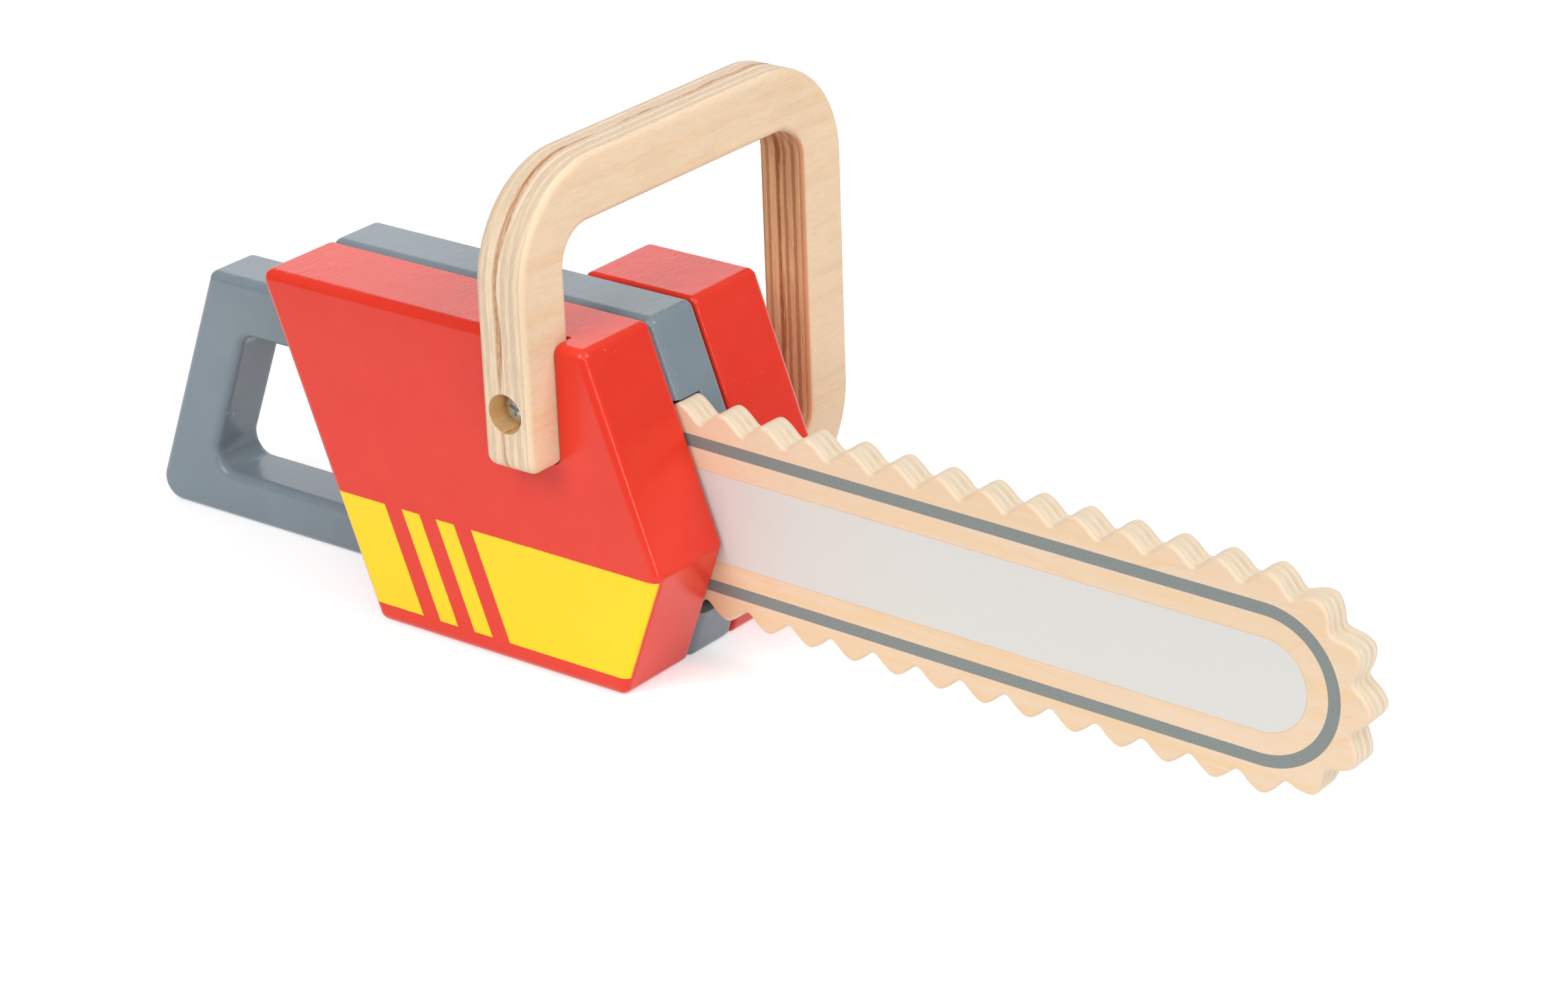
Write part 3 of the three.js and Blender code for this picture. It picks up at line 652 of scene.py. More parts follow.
def make_handle_ply():
    material, n, skin = new_material("handle_birch_ply", Roughness=0.55, Specular_IOR_Level=0.4)
    place, facing = n.object_place(), n.surface_normal()
    x, y, z = n.split(place)
    nx, ny, nz = n.split(facing)
    middle_share = 0.5 - HANDLE_CENTRE_X / HANDLE_THICKNESS
    depth = n.math("MULTIPLY_ADD", x, 1 / (HANDLE_THICKNESS * MM), middle_share)
    edge = n.step(n.math("ABSOLUTE", nx), 0.93, 0.8)
    end_grain = n.math("SUBTRACT", 1.0, n.step(n.math("ABSOLUTE", nz), 0.3, 0.8))
    ply = n.use(
        ply_group, Depth=depth, Plies=float(HANDLE_PLIES), Place=place, Edge=edge, End_Grain=end_grain,
        Across=n.mapping(place, (1.0, 0.045, 1.0), rotation=(0.15, 0, 0)),
        Along=n.mapping(place, (1.0, 0.07, 0.07)),
        Face_Colour=srgb(235, 208, 175), Light_Ply=srgb(233, 209, 178), Dark_Ply=srgb(218, 194, 167),
        Core_Ply=srgb(190, 132, 80), Core_Index=HANDLE_CORE_PLY, Face_Contrast=1.5, Uneven=2.2,
    )
    # The cut edge inside the far leg, facing the near leg, is made darker and warmer
    inner_side = n.math("MULTIPLY", n.step(y, 60 * MM, 66 * MM), n.step(ny, -0.3, -0.75))
    inner_edge_tone = n.math("MULTIPLY", n.math("MULTIPLY", inner_side, edge), 0.85)
    inner_edge_colour = n.mix(ply["Dark"], INNER_EDGE_LIGHT, INNER_EDGE_DARK)
    colour = n.mix(inner_edge_tone, ply["Colour"], inner_edge_colour, "MULTIPLY")
    streak = n.noise(n.mapping(place, (1.0, 0.05, 0.7), rotation=(0.3, 0, 0)), 300.0, 2.0, 0.5, 0.3)
    on_face = n.math("SUBTRACT", 1.0, edge)
    figured = n.math("MULTIPLY", n.remap(streak, 0.48, 0.72, 0.0, 0.45), on_face)
    colour = n.mix(figured, colour, FACE_STREAK, "MULTIPLY")
    off_axis = n.add("ShaderNodeVectorMath", operation="DISTANCE")
    n.plug(n.combine(x=x, z=z), off_axis.inputs[0])
    off_axis.inputs[1].default_value = (HANDLE_CENTRE_X * MM, 0, SCREW_Z * MM)
    bore = COUNTERBORE_DIAMETER / 2
    in_bore = n.step(off_axis.outputs["Value"], (bore + 0.15) * MM, (bore + 0.05) * MM)
    below_face = n.step(y, (HANDLE_RIGHT_Y + 0.1) * MM, (HANDLE_RIGHT_Y + 0.4) * MM)
    near_leg = n.math("LESS_THAN", y, 0.0)
    in_bore = n.math("MULTIPLY", in_bore, near_leg)
    colour = n.mix(n.math("MULTIPLY", in_bore, below_face), colour, BORE_TINT, "MULTIPLY")
    n.plug(colour, skin["Base Color"])
    n.plug(n.remap(ply["Fibre"], 0.2, 0.8, 0.5, 0.62), skin["Roughness"])
    n.plug(n.bump(ply["Height"], 0.35, 0.12 * MM), skin["Normal"])
    return material


def make_blade_ply():
    material, n, skin = new_material("blade_birch_ply", Roughness=0.5, Specular_IOR_Level=0.4)
    to_nose = BLADE_SEAT.inverted()
    place = n.mapping(n.object_place(), (1, 1, 1), to_nose.translation * MM, to_nose.to_euler())
    x, y, z = n.split(place)
    nx, ny, _ = n.split(n.surface_normal())
    depth = n.math("MULTIPLY_ADD", y, 1 / (BLADE_THICKNESS * MM), 0.5)
    edge = n.step(n.math("ABSOLUTE", ny), 0.93, 0.8)
    end_grain = n.step(n.math("ABSOLUTE", nx), 0.35, 0.8)
    ply = n.use(
        ply_group, Depth=depth, Plies=float(BLADE_PLIES), Place=place, Edge=edge,
        Across=n.mapping(place, (0.06, 1.0, 1.0)), Along=n.mapping(place, (0.09, 1.0, 0.09)),
        Face_Colour=srgb(230, 204, 176), Edge_Contrast=0.38,
        Light_Ply=n.mix(end_grain, srgb(220, 201, 173), srgb(221, 201, 172)),
        Dark_Ply=n.mix(end_grain, srgb(223, 205, 179), srgb(230, 214, 192)),
    )
    figure_place = n.mapping(place, (0.16, 1.0, 1.0))
    figure = n.noise(figure_place, 60.0, 2.0, 0.5, 0.6)
    contour = n.math("PINGPONG", n.math("MULTIPLY", figure, 9.0), 1.0)
    figured_spots = n.step(n.noise(place, 45.0, 1.0), 0.45, 0.6)
    figure_line = n.math("MULTIPLY", n.step(contour, 0.12, 0.0), figured_spots)
    on_face = n.math("SUBTRACT", 1.0, edge)
    figure_line = n.math("MULTIPLY", figure_line, on_face)
    colour = n.mix(n.math("MULTIPLY", figure_line, 0.6), ply["Colour"], GRAIN_LINE)
    honey = n.noise(n.mapping(place, (0.05, 1.0, 1.0)), 330.0, 3.0, 0.6, 0.4)
    honey = n.math("MULTIPLY", n.remap(honey, 0.42, 0.68, 0.0, 1.0), on_face)
    colour = n.mix(honey, colour, HONEY_STREAK)
    along = n.math("ADD", x, PRINT_SETBACK * MM)
    rounded = n.math("MAXIMUM", along, 0.0)
    squared = n.math("MULTIPLY_ADD", rounded, rounded, n.math("MULTIPLY", z, z))
    reach = n.math("SQRT", squared)
    near_face = n.step(ny, -0.8, -0.95)
    speck = n.noise(place, 3000.0, 2.0, 0.7)
    reach = n.math("MULTIPLY_ADD", n.math("SUBTRACT", speck, 0.5), 0.2 * MM, reach)
    blur, bar_edge = PRINT_BLUR * MM, PRINT_BAR * MM
    inner, outer = PRINT_STRIPE
    bar = n.step(reach, bar_edge + blur, bar_edge - blur)
    rim = n.band(reach, bar_edge, bar_edge + PRINT_RIM * MM, blur)
    stripe = n.band(reach, inner * MM, outer * MM, blur)
    grains = n.remap(speck, 0.3, 0.7, 0.0, 1.0)
    colour = n.mix(n.math("MULTIPLY", stripe, near_face), colour, n.mix(grains, *PRINT_DARK))
    colour = n.mix(n.math("MULTIPLY", n.math("MULTIPLY", rim, near_face), 0.6), colour, PRINT_EDGE)
    colour = n.mix(n.math("MULTIPLY", bar, near_face), colour, n.mix(grains, *PRINT_PALE))
    n.plug(colour, skin["Base Color"])
    printed = n.math("MULTIPLY", n.math("ADD", stripe, bar), near_face)
    sheen = n.remap(ply["Fibre"], 0.2, 0.8, 0.42, 0.54)
    n.plug(n.math("MULTIPLY_ADD", printed, -0.06, sheen), skin["Roughness"])
    height = n.math("MULTIPLY_ADD", speck, n.math("MULTIPLY", printed, 0.5), ply["Height"])
    n.plug(n.bump(height, 0.3, 0.1 * MM), skin["Normal"])
    return material


def make_zinc():
    material, n, skin = new_material("zinc_plate", Roughness=0.3, Metallic=0.85)
    place = n.object_place()
    cloud = n.noise(place, 700.0, 3.0, 0.6)
    n.plug(n.mix(cloud, srgb(184, 190, 190), srgb(220, 224, 222)), skin["Base Color"])
    n.plug(n.remap(cloud, 0.3, 0.7, 0.2, 0.36), skin["Roughness"])
    n.plug(n.bump(n.noise(place, 2400.0, 2.0), 0.2, 0.05 * MM), skin["Normal"])
    return material


def make_beech():
    material, n, skin = new_material("turned_beech", Roughness=0.6)
    place = n.object_place()
    grain = n.use(fibre_group, Place=n.mapping(place, (1.0, 0.06, 1.0)), Scale=1100.0, Contrast=1.8)
    n.plug(n.mix(grain["Fibre"], srgb(190, 150, 108), srgb(226, 194, 152)), skin["Base Color"])
    n.plug(n.remap(grain["Fibre"], 0.2, 0.8, 0.7, 0.52), skin["Roughness"])
    n.plug(n.bump(grain["Fibre"], 0.3, 0.1 * MM), skin["Normal"])
    return material


red_stripes = make_paint("red_lacquer_striped", RED, RED_DEEP, stripes=True)
red_plain = make_paint("red_lacquer", RED, RED_DEEP)
grey_paint = make_paint("grey_lacquer", GREY, GREY_DEEP, ripple=0.8)
handle_ply = make_handle_ply()
blade_ply = make_blade_ply()
zinc = make_zinc()
beech = make_beech()


# Body
FRONT_CORNERS = [
    (BOTTOM_FRONT_X, 0, BODY_CORNER_RADIUS),
    (CHIN_X, CHIN_HEIGHT, BODY_CORNER_RADIUS),
    (TOP_FRONT_X, BODY_HEIGHT, BODY_CORNER_RADIUS),
]
UPPER_DOWEL_Z = BODY_HEIGHT - DOWEL_DROP
DOWEL_RIGHT_Y = BOARD_RIGHT_Y - DOWEL_BITE
DOWEL_LEFT_Y = BOARD_LEFT_Y + DOWEL_BITE
BODY_DOWELS = [
    (body_rear_x(UPPER_DOWEL_Z) + DOWEL_MARGIN, UPPER_DOWEL_Z, 0),
    (BOTTOM_REAR_X + DOWEL_MARGIN, DOWEL_MARGIN, 0),
    (HANDLE_CENTRE_X + HANDLE_THICKNESS / 2 + DOWEL_CLEAR, UPPER_DOWEL_Z, DOWEL_LEFT_Y),
    (BOTTOM_FRONT_X - DOWEL_MARGIN, LOWER_DOWEL_RISE, DOWEL_LEFT_Y),
]
BLADE_DOWELS = [TANG_REAR_X + TANG_LENGTH / 4, TANG_REAR_X + TANG_LENGTH * 3 / 4]
HOLE_DIAMETER = DOWEL_DIAMETER + 2 * FIT_GAP


def dowel_drills():
    from_y = DOWEL_RIGHT_Y - FIT_GAP
    return [drill(HOLE_DIAMETER, from_y, to_y + FIT_GAP, x, z) for x, z, to_y in BODY_DOWELS]


def blade_dowel_drills():
    from_y = DOWEL_RIGHT_Y - FIT_GAP - BLADE_CENTRE_Y
    to_y = BLADE_THICKNESS / 2 + 2 * FIT_GAP + BLADE_DOWEL_BITE
    return [seated(drill(HOLE_DIAMETER, from_y, to_y, x, 0)) for x in BLADE_DOWELS]


def shank_drill(from_y, to_y, z):
    return drill(SCREW_SHANK_DIAMETER + 2 * FIT_GAP, from_y, to_y, HANDLE_CENTRE_X, z)


def right_shank_drill():
    return shank_drill(RIGHT_SCREW_SEAT_Y - FIT_GAP, RIGHT_SCREW_TIP_Y + FIT_GAP, SCREW_Z)


def lower_shank_drill():
    return shank_drill(LOWER_SCREW_SEAT_Y - FIT_GAP, LOWER_SCREW_TIP_Y + FIT_GAP, LOWER_SCREW_Z)


def layer(corners, right_y, thickness, edge_radii, hole=()):
    return rounded_board(corners, thickness, edge_radii, lambda u, v, d: (u, right_y + d, v), hole)


def pocket(from_y, to_y, from_z, to_z):
    """A cutter for the place of a handle's bar, whose corners follow the bar's rounded edges."""
    half = HANDLE_THICKNESS / 2 + FIT_GAP
    radius = HANDLE_EDGE_RADIUS + FIT_GAP
    low, high = HANDLE_CENTRE_X - half, HANDLE_CENTRE_X + half
    return rounded_board(
        [(low, from_z, radius), (high, from_z, radius), (high, to_z, radius), (low, to_z, radius)],
        to_y - from_y, (POCKET_END_RADIUS, POCKET_END_RADIUS),
        lambda u, v, d: (u, from_y + d, v), edge_steps=2,
    )


def build_right_block():
    made = layer(
        [(BOTTOM_REAR_X, 0, BODY_CORNER_RADIUS), *FRONT_CORNERS,
         (TOP_REAR_X, BODY_HEIGHT, BODY_CORNER_RADIUS)],
        RIGHT_FACE_Y, BLOCK_THICKNESS, (BODY_EDGE_RADIUS, RIGHT_SEAM_RADIUS),
    )
    bottom_y = RIGHT_FACE_Y + LEG_LET_IN + FIT_GAP
    cut(made, [
        pocket(HANDLE_RIGHT_Y, bottom_y, RIGHT_LEG_FOOT - FIT_GAP, HANDLE_TOP_Z),
        right_shank_drill(), *dowel_drills(), *blade_dowel_drills(),
    ])
    soften(made, POCKET_EDGE_RADIUS, lambda p: p.y < bottom_y + 0.1 and p.z > RIGHT_LEG_FOOT - 1
           and (p.z > BODY_HEIGHT - 4 or p.y < bottom_y - 1))
    finish_piece(made, "right_body_block", "right_block", red_stripes)


def build_left_block():
    made = layer(
        [(LEFT_BLOCK_REAR_X, 0, BODY_CORNER_RADIUS), *FRONT_CORNERS,
         (LEFT_BLOCK_REAR_X, BODY_HEIGHT, BODY_CORNER_RADIUS)],
        BOARD_LEFT_Y, BLOCK_THICKNESS, (LEFT_SEAM_RADIUS, BODY_EDGE_RADIUS),
    )
    head_room = SCREW_HEAD_DIAMETER + 2 * SCREW_HEAD_ROOM
    cut(made, [
        pocket(LOWER_BAR_END_Y - FIT_GAP, HANDLE_LEFT_Y, LOWER_BAR_FOOT - FIT_GAP,
               LOWER_BAR_FOOT + HANDLE_BAR + FIT_GAP),
        drill(head_room, BOARD_LEFT_Y - FIT_GAP, LOWER_SCREW_SEAT_Y, HANDLE_CENTRE_X, LOWER_SCREW_Z),
        lower_shank_drill(), *dowel_drills(),
    ])
    soften(made, POCKET_EDGE_RADIUS / 2, lambda p: p.y > LEFT_FACE_Y - 0.5)
    finish_piece(made, "left_body_block", "left_block", red_plain)


def build_center_board():
    heel_x = BOTTOM_REAR_X - LOOP_REACH
    rear_bar_run = LOOP_REAR_BAR / math.cos(math.atan(LOOP_LEAN))
    setback_run = LOOP_FRONT_SETBACK / math.cos(math.atan(BODY_LEAN))
    hole_top = LOOP_HEIGHT - LOOP_TOP_BAR

    def loop_rear_x(z):
        return heel_x + z * LOOP_LEAN

    made = layer(
        [
            (heel_x, 0, LOOP_HEEL_RADIUS), *FRONT_CORNERS, (TOP_REAR_X, BODY_HEIGHT, BODY_CORNER_RADIUS),
            (body_rear_x(LOOP_HEIGHT), LOOP_HEIGHT, BODY_CORNER_RADIUS),
            (loop_rear_x(LOOP_HEIGHT), LOOP_HEIGHT, BODY_CORNER_RADIUS),
        ],
        BOARD_RIGHT_Y, BOARD_THICKNESS, (BODY_EDGE_RADIUS, BODY_EDGE_RADIUS),
        hole=[
            (loop_rear_x(LOOP_BOTTOM_BAR) + rear_bar_run, LOOP_BOTTOM_BAR, LOOP_INNER_RADIUS),
            (body_rear_x(LOOP_BOTTOM_BAR) - setback_run, LOOP_BOTTOM_BAR, LOOP_INNER_RADIUS),
            (body_rear_x(hole_top) - setback_run, hole_top, LOOP_INNER_RADIUS),
            (loop_rear_x(hole_top) + rear_bar_run, hole_top, LOOP_INNER_RADIUS),
        ],
    )
    reach = BLADE_HALF_HEIGHT + FIT_GAP
    rebate = box_tool((TANG_REAR_X - FIT_GAP, -REBATE_DEPTH, -reach), (0, REBATE_DEPTH / 2, reach))
    cut(made, [seated(rebate), *dowel_drills(), *blade_dowel_drills()])
    soften(made, REBATE_EDGE_RADIUS, lambda p: p.x > BOTTOM_FRONT_X - 1 and 8 < p.z < 85)
    finish_piece(made, "center_body_board", "center_board", grey_paint)


def build_handle():
    right_in, left_in = HANDLE_RIGHT_Y + HANDLE_BAR, HANDLE_LEFT_Y - HANDLE_BAR
    top_in, lower_in = HANDLE_TOP_Z - HANDLE_BAR, LOWER_BAR_FOOT + HANDLE_BAR
    made = rounded_board(
        [
            (HANDLE_RIGHT_Y, RIGHT_LEG_FOOT, HANDLE_TOE_RADIUS),
            (right_in, RIGHT_LEG_FOOT, HANDLE_TOE_RADIUS),
            (right_in, top_in, HANDLE_INNER_RADIUS), (left_in, top_in, HANDLE_INNER_RADIUS),
            (left_in, lower_in, HANDLE_INNER_RADIUS), (LOWER_BAR_END_Y, lower_in, HANDLE_TOE_RADIUS),
            (LOWER_BAR_END_Y, LOWER_BAR_FOOT, HANDLE_TOE_RADIUS),
            (HANDLE_LEFT_Y, LOWER_BAR_FOOT, HANDLE_OUTER_RADIUS),
            (HANDLE_LEFT_Y, HANDLE_TOP_Z, HANDLE_OUTER_RADIUS),
            (HANDLE_RIGHT_Y, HANDLE_TOP_Z, HANDLE_OUTER_RADIUS),
        ],
        HANDLE_THICKNESS, (HANDLE_EDGE_RADIUS, HANDLE_EDGE_RADIUS),
        lambda u, v, d: (HANDLE_CENTRE_X - HANDLE_THICKNESS / 2 + d, u, v), steps=32,
    )
    cut(made, [
        drill(COUNTERBORE_DIAMETER, HANDLE_RIGHT_Y - 1, RIGHT_SCREW_SEAT_Y, HANDLE_CENTRE_X, SCREW_Z),
        right_shank_drill(), lower_shank_drill(),
    ])
    finish_piece(made, "front_wrap_handle", "front_handle", handle_ply)


# Blade, drawn by geometry nodes: one wave runs along the lower edge, round the nose and back along the top
def blade_tree():
    tree = bpy.data.node_groups.new("wave_blade", "GeometryNodeTree")
    face = tree.interface
    names = ("Tooth Pitch", "Tooth Height", "Fullness", "Point", "Half Height", "Tang Length", "Thickness",
             "Straight Pitches", "Nose Teeth", "Steps")
    for label in names:
        face.new_socket(label, in_out="INPUT", socket_type=FLOAT)
    face.new_socket("Wood", in_out="INPUT", socket_type="NodeSocketMaterial")
    face.new_socket("Blade", in_out="OUTPUT", socket_type="NodeSocketGeometry")
    n = Nodes(tree)
    given = n.add("NodeGroupInput").outputs
    straight, nose, steps = given["Straight Pitches"], given["Nose Teeth"], given["Steps"]
    path = n.math("MULTIPLY_ADD", straight, 2.0, nose)
    count = n.math("MULTIPLY_ADD", path, steps, 3.0)
    row = n.put("GeometryNodeMeshLine", {"Count": count})
    index = n.add("GeometryNodeInputIndex").outputs[0]
    teeth = n.math("SUBTRACT", n.math("DIVIDE", n.math("SUBTRACT", index, 1.0), steps), straight)
    teeth = n.math("MINIMUM", teeth, n.math("ADD", straight, nose))
    teeth = n.math("MAXIMUM", teeth, n.math("MULTIPLY", straight, -1.0))
    turn = n.math("MULTIPLY", teeth, 2 * math.pi)
    crest = n.math("MULTIPLY_ADD", n.math("COSINE", turn), 0.5, 0.5)
    full = n.math("MULTIPLY_ADD", n.math("COSINE", n.math("MULTIPLY", turn, 2.0)), -0.5, 0.5)
    wave = n.math("MULTIPLY_ADD", full, given["Fullness"], crest)
    third = n.math("COSINE", n.math("MULTIPLY", turn, 3.0))
    point = n.math("MULTIPLY", n.math("SUBTRACT", third, n.math("COSINE", turn)), 0.5)
    wave = n.math("MULTIPLY_ADD", point, given["Point"], wave)
    root = n.math("SUBTRACT", given["Half Height"], given["Tooth Height"])
    half = n.math("MULTIPLY_ADD", wave, given["Tooth Height"], root)
    share = n.math("DIVIDE", teeth, nose, clamp=True)
    angle = n.math("MULTIPLY_ADD", share, math.pi, -math.pi / 2)
    after_nose = n.math("MINIMUM", n.math("SUBTRACT", nose, teeth), 0.0)
    back = n.math("ADD", n.math("MINIMUM", teeth, 0.0), after_nose)
    at_start = n.math("LESS_THAN", index, 0.5)
    at_end = n.math("GREATER_THAN", index, n.math("SUBTRACT", count, 1.5))
    tang = n.math("MULTIPLY", n.math("ADD", at_start, at_end), given["Tang Length"])
    back = n.math("MULTIPLY", back, given["Tooth Pitch"])
    along = n.math("MULTIPLY_ADD", half, n.math("COSINE", angle), back)
    place = n.combine(n.math("SUBTRACT", along, tang), n.math("MULTIPLY", half, n.math("SINE", angle)))
    bent = n.put("GeometryNodeSetPosition", {"Geometry": row, "Position": place})
    curve = n.put("GeometryNodeMeshToCurve", {"Mesh": bent})
    closed = n.put("GeometryNodeSetSplineCyclic", {"Geometry": curve, "Cyclic": True})
    sheet = n.put("GeometryNodeFillCurve", {"Curve": closed}, mode="NGONS")
    pressed = n.put("GeometryNodeExtrudeMesh", {"Mesh": sheet, "Offset": n.combine(z=given["Thickness"])})
    under = n.put("GeometryNodeFlipFaces", {"Mesh": sheet})
    whole = n.add("GeometryNodeJoinGeometry")
    n.plug(pressed, whole.inputs[0])
    n.plug(under, whole.inputs[0])
    welded = n.put("GeometryNodeMergeByDistance", {"Geometry": whole.outputs[0], "Distance": WELD_DISTANCE})
    real = n.put("GeometryNodeRealizeInstances", {"Geometry": welded})
    wood = n.put("GeometryNodeSetMaterial", {"Geometry": real, "Material": given["Wood"]})
    n.plug(wood, n.add("NodeGroupOutput").inputs[0])
    return tree


def build_blade():
    made = mesh_object("blade", bmesh.new())
    grow = made.modifiers.new("wave", "NODES")
    grow.node_group = blade_tree()
    values = {
        "Tooth Pitch": TOOTH_PITCH * MM, "Tooth Height": TOOTH_HEIGHT * MM, "Fullness": TOOTH_FULLNESS,
        "Point": TOOTH_POINT, "Half Height": BLADE_HALF_HEIGHT * MM, "Tang Length": TANG_LENGTH * MM,
        "Thickness": BLADE_THICKNESS * MM, "Straight Pitches": TOOTHED_PITCHES,
        "Nose Teeth": float(NOSE_TEETH), "Steps": float(WAVE_STEPS), "Wood": blade_ply,
    }
    for socket in grow.node_group.interface.items_tree:
        if socket.in_out == "INPUT":
            grow[socket.identifier] = values[socket.name]
    bake_modifiers(made)
    stand = Matrix.Rotation(math.pi / 2, 4, "X") @ Matrix.Translation((0, 0, -BLADE_THICKNESS * MM / 2))
    made.data.transform(stand)
    cut(made, [drill(HOLE_DIAMETER, -BLADE_THICKNESS, BLADE_THICKNESS, x, 0) for x in BLADE_DOWELS])
    tang_end_x = TANG_REAR_X + TANG_LENGTH
    soften(made, BLADE_EDGE_RADIUS, lambda p: abs(p.z) > DOWEL_DIAMETER or p.x > tang_end_x, segments=5)
    seated(made)
    finish_piece(made, "wave_saw_blade", "saw_blade", blade_ply)


def build_right_screw():
    """A pan head with a cross recess, at the bottom of the counterbore."""
    head, shank = SCREW_HEAD_DIAMETER / 2, SCREW_SHANK_DIAMETER / 2
    seat_y = RIGHT_SCREW_SEAT_Y - FIT_GAP
    length = RIGHT_SCREW_TIP_Y - RIGHT_SCREW_SEAT_Y
    dome = SCREW_HEAD_HEIGHT - SCREW_RIM_HEIGHT
    profile = [(0.0, -SCREW_HEAD_HEIGHT)]
    for k in range(1, 9):
        a = k / 8 * math.pi / 2
        profile.append((head * math.sin(a), -SCREW_RIM_HEIGHT - dome * math.cos(a)))
    profile += [(head, 0.0), (shank, 0.0), (shank, length - 2 * shank), (0.0, length)]
    made = turned(profile, Vector((HANDLE_CENTRE_X, seat_y, SCREW_Z)))
    top, bottom = -SCREW_HEAD_HEIGHT - 1, -SCREW_HEAD_HEIGHT + RECESS_DEPTH
    recess = cross_tool(RECESS_LENGTH, RECESS_WIDTH, top, bottom)
    seat = Matrix.Translation(Vector((HANDLE_CENTRE_X, seat_y, SCREW_Z)) * MM)
    recess.data.transform(seat @ Matrix.Rotation(RECESS_TURN, 4, "Y"))
    cut(made, [recess])
    finish_piece(made, "right_leg_screw_cross_head", "right_leg_screw", zinc)


def dress(material, *nodes):
    """Gives CAD nodes that are shown as they are their material."""
    for node in nodes:
        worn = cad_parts[node].data.materials
        worn.clear()
        worn.append(material)


build_center_board()
build_right_block()
build_left_block()
build_blade()
build_handle()
build_right_screw()
dress(zinc, "lower_bar_screw")
dress(beech, "upper_rear_dowel", "lower_rear_dowel", "upper_front_dowel", "lower_front_dowel",
      "blade_dowel_rear", "blade_dowel_front")


# Studio, in metres: a white sweep, soft lights, and the camera where the photograph was taken from
FLOOR_HALF_SIZE = 6
SHEET_FRONT = (-0.34, -0.24)
GLOW_FROM, GLOW_TO = 0.9, 2.4
AIM = Vector((0.05, 0, 0.06))
LAMPS = [
    # name, width and height, watts, place
    ("key_lamp", (1.2, 1.2), 27.2, (2.45, -2.7, 1.9)),
    ("side_panel", (1.1, 1.0), 20.0, (-0.15, -1.45, 1.3)),
    ("front_panel", (1.2, 0.9), 16.4, (1.45, 0.25, 1.5)),
    ("top_softbox", (2.2, 1.9), 7.0, (0.3, 0.1, 1.7)),
    ("back_panel", (2.2, 0.9), 6.9, (-0.85, 1.08, 0.66)),
    ("edge_lamp", (0.6, 0.6), 18.5, (3.89, -2.22, 0.48)),
]
PHOTO_WIDTH_PIXELS = 2408
FOCAL_LENGTH_PIXELS = 6546.6
SENSOR_WIDTH = 36
CAMERA_AZIMUTH = math.radians(38.091)
CAMERA_ELEVATION = math.radians(24.008)
CAMERA_ROLL = math.radians(2.048)
CAMERA_PLACE = Vector((762.73, -875.02, 549.40)) * MM
WHITE = (1, 1, 1, 1)


def plain_grey(value):
    return (value, value, value, 1)


def mirror_paths(n):
    """The light path's outputs, and a number that is 1 on rays from mirrors and glass."""
    path = n.add("ShaderNodeLightPath").outputs
    return path, n.math("MAXIMUM", path["Is Glossy Ray"], path["Is Transmission Ray"])


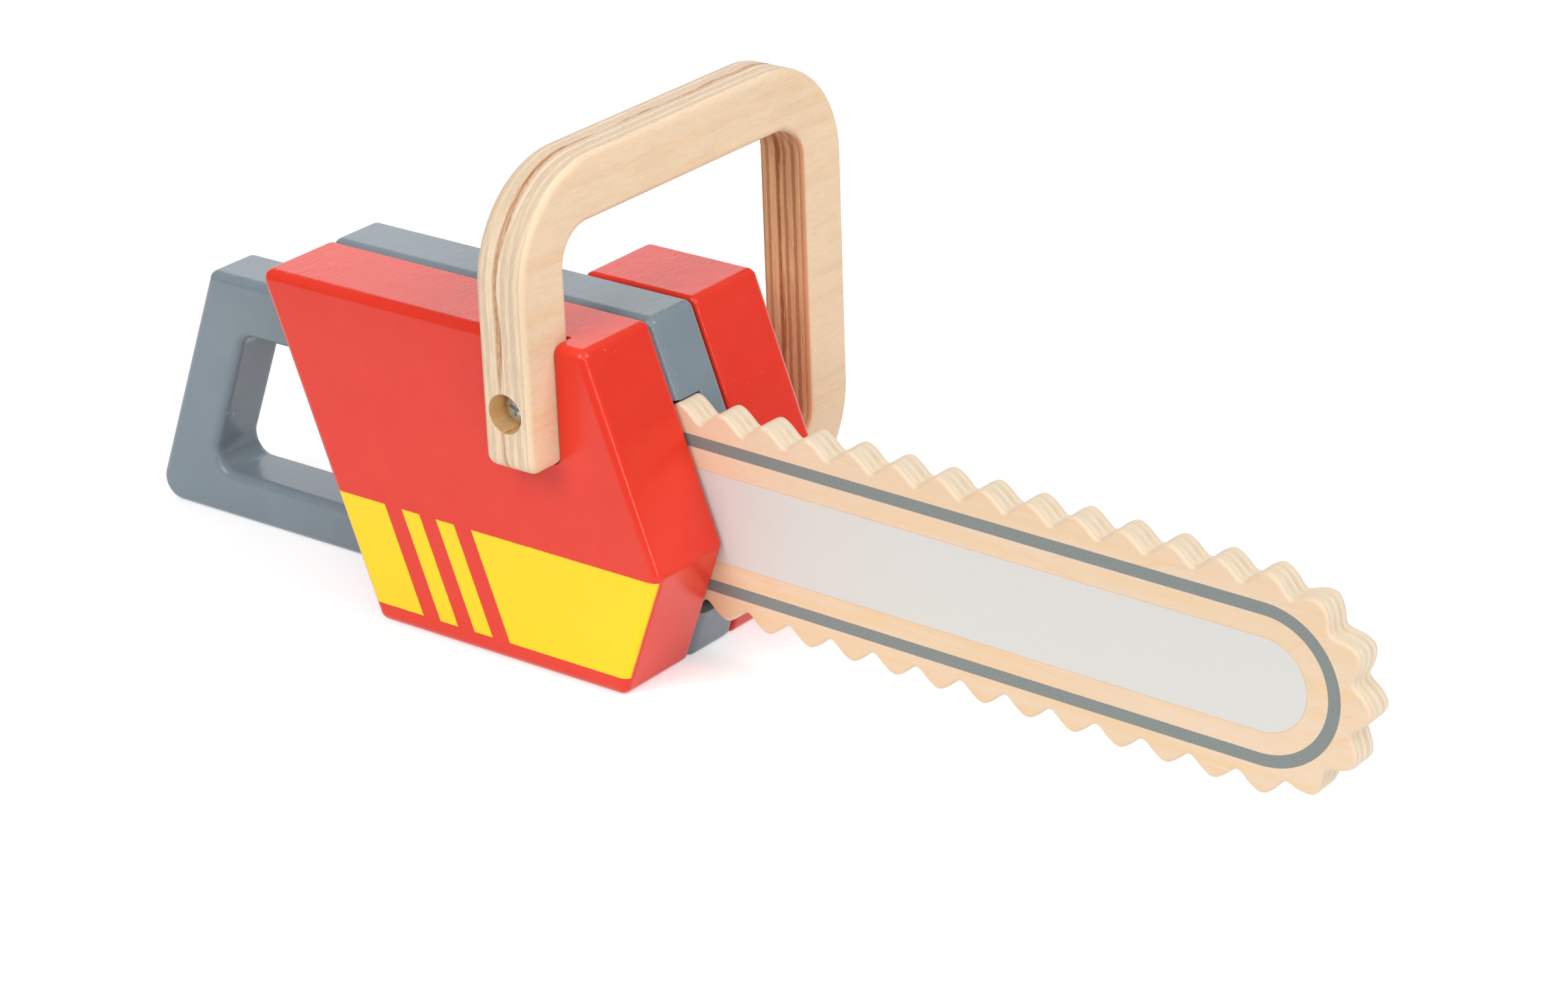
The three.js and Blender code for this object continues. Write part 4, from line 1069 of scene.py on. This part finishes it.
def make_floor():
    """A white sweep. In front of its sheet the set is dim in bounced and mirrored light."""
    work = bmesh.new()
    bmesh.ops.create_grid(work, x_segments=1, y_segments=1, size=FLOOR_HALF_SIZE)
    floor = mesh_object("floor", work)
    material, n, skin = new_material(
        "white_floor", Roughness=0.9, Specular_IOR_Level=0.0, Emission_Color=WHITE,
    )
    place = n.object_place()
    _, y, _ = n.split(place)
    sheet = n.step(y, *SHEET_FRONT)
    path, mirrored = mirror_paths(n)
    seen = n.math("MAXIMUM", path["Is Camera Ray"], n.math("MULTIPLY", mirrored, sheet))
    bounced = n.mix(sheet, plain_grey(0.25), plain_grey(0.94))
    n.plug(n.mix(seen, bounced, plain_grey(0.82)), skin["Base Color"])
    away = n.add("ShaderNodeVectorMath", operation="LENGTH")
    n.plug(place, away.inputs[0])
    glow = n.remap(away.outputs["Value"], GLOW_FROM, GLOW_TO, 0.42, 1.0)
    n.plug(n.math("MULTIPLY", seen, glow), skin["Emission Strength"])
    floor.data.materials.append(material)


def make_lamp(name, size, power, place):
    lamp = bpy.data.lights.new(name, "AREA")
    lamp.shape = "RECTANGLE"
    lamp.size, lamp.size_y = size
    lamp.energy = power
    made = bpy.data.objects.new(name, lamp)
    made.location = place
    made.rotation_euler = (AIM - Vector(place)).to_track_quat("-Z", "Y").to_euler()
    bpy.context.scene.collection.objects.link(made)


def make_world():
    """White to the camera, dim in bounced light, a little brighter in mirrors and glass."""
    world = bpy.data.worlds.new("studio")
    world.use_nodes = True
    bpy.context.scene.world = world
    n = Nodes(world.node_tree)
    back = world.node_tree.nodes["Background"].inputs
    back["Color"].default_value = WHITE
    path, mirrored = mirror_paths(n)
    lit = n.math("MULTIPLY_ADD", path["Is Camera Ray"], 0.8, 0.2)
    n.plug(n.math("MULTIPLY_ADD", mirrored, 0.12, lit), back["Strength"])


def make_camera():
    right = Vector((math.cos(CAMERA_AZIMUTH), math.sin(CAMERA_AZIMUTH), 0))
    level_back = Vector((right.y, -right.x, 0))
    back = level_back * math.cos(CAMERA_ELEVATION) + Vector((0, 0, math.sin(CAMERA_ELEVATION)))
    up = back.cross(right)
    tilted_right = right * math.cos(CAMERA_ROLL) - up * math.sin(CAMERA_ROLL)
    tilted_up = right * math.sin(CAMERA_ROLL) + up * math.cos(CAMERA_ROLL)
    lens = bpy.data.cameras.new("camera")
    lens.sensor_width = SENSOR_WIDTH
    lens.lens = FOCAL_LENGTH_PIXELS * SENSOR_WIDTH / PHOTO_WIDTH_PIXELS
    lens.clip_start, lens.clip_end = 0.05, 50
    camera = bpy.data.objects.new("camera", lens)
    turn = Matrix((tilted_right, tilted_up, back)).transposed().to_4x4()
    camera.matrix_world = Matrix.Translation(CAMERA_PLACE) @ turn
    bpy.context.scene.collection.objects.link(camera)
    bpy.context.scene.camera = camera


make_floor()
make_world()
for lamp in LAMPS:
    make_lamp(*lamp)
make_camera()
bpy.context.scene.view_settings.view_transform = "Standard"
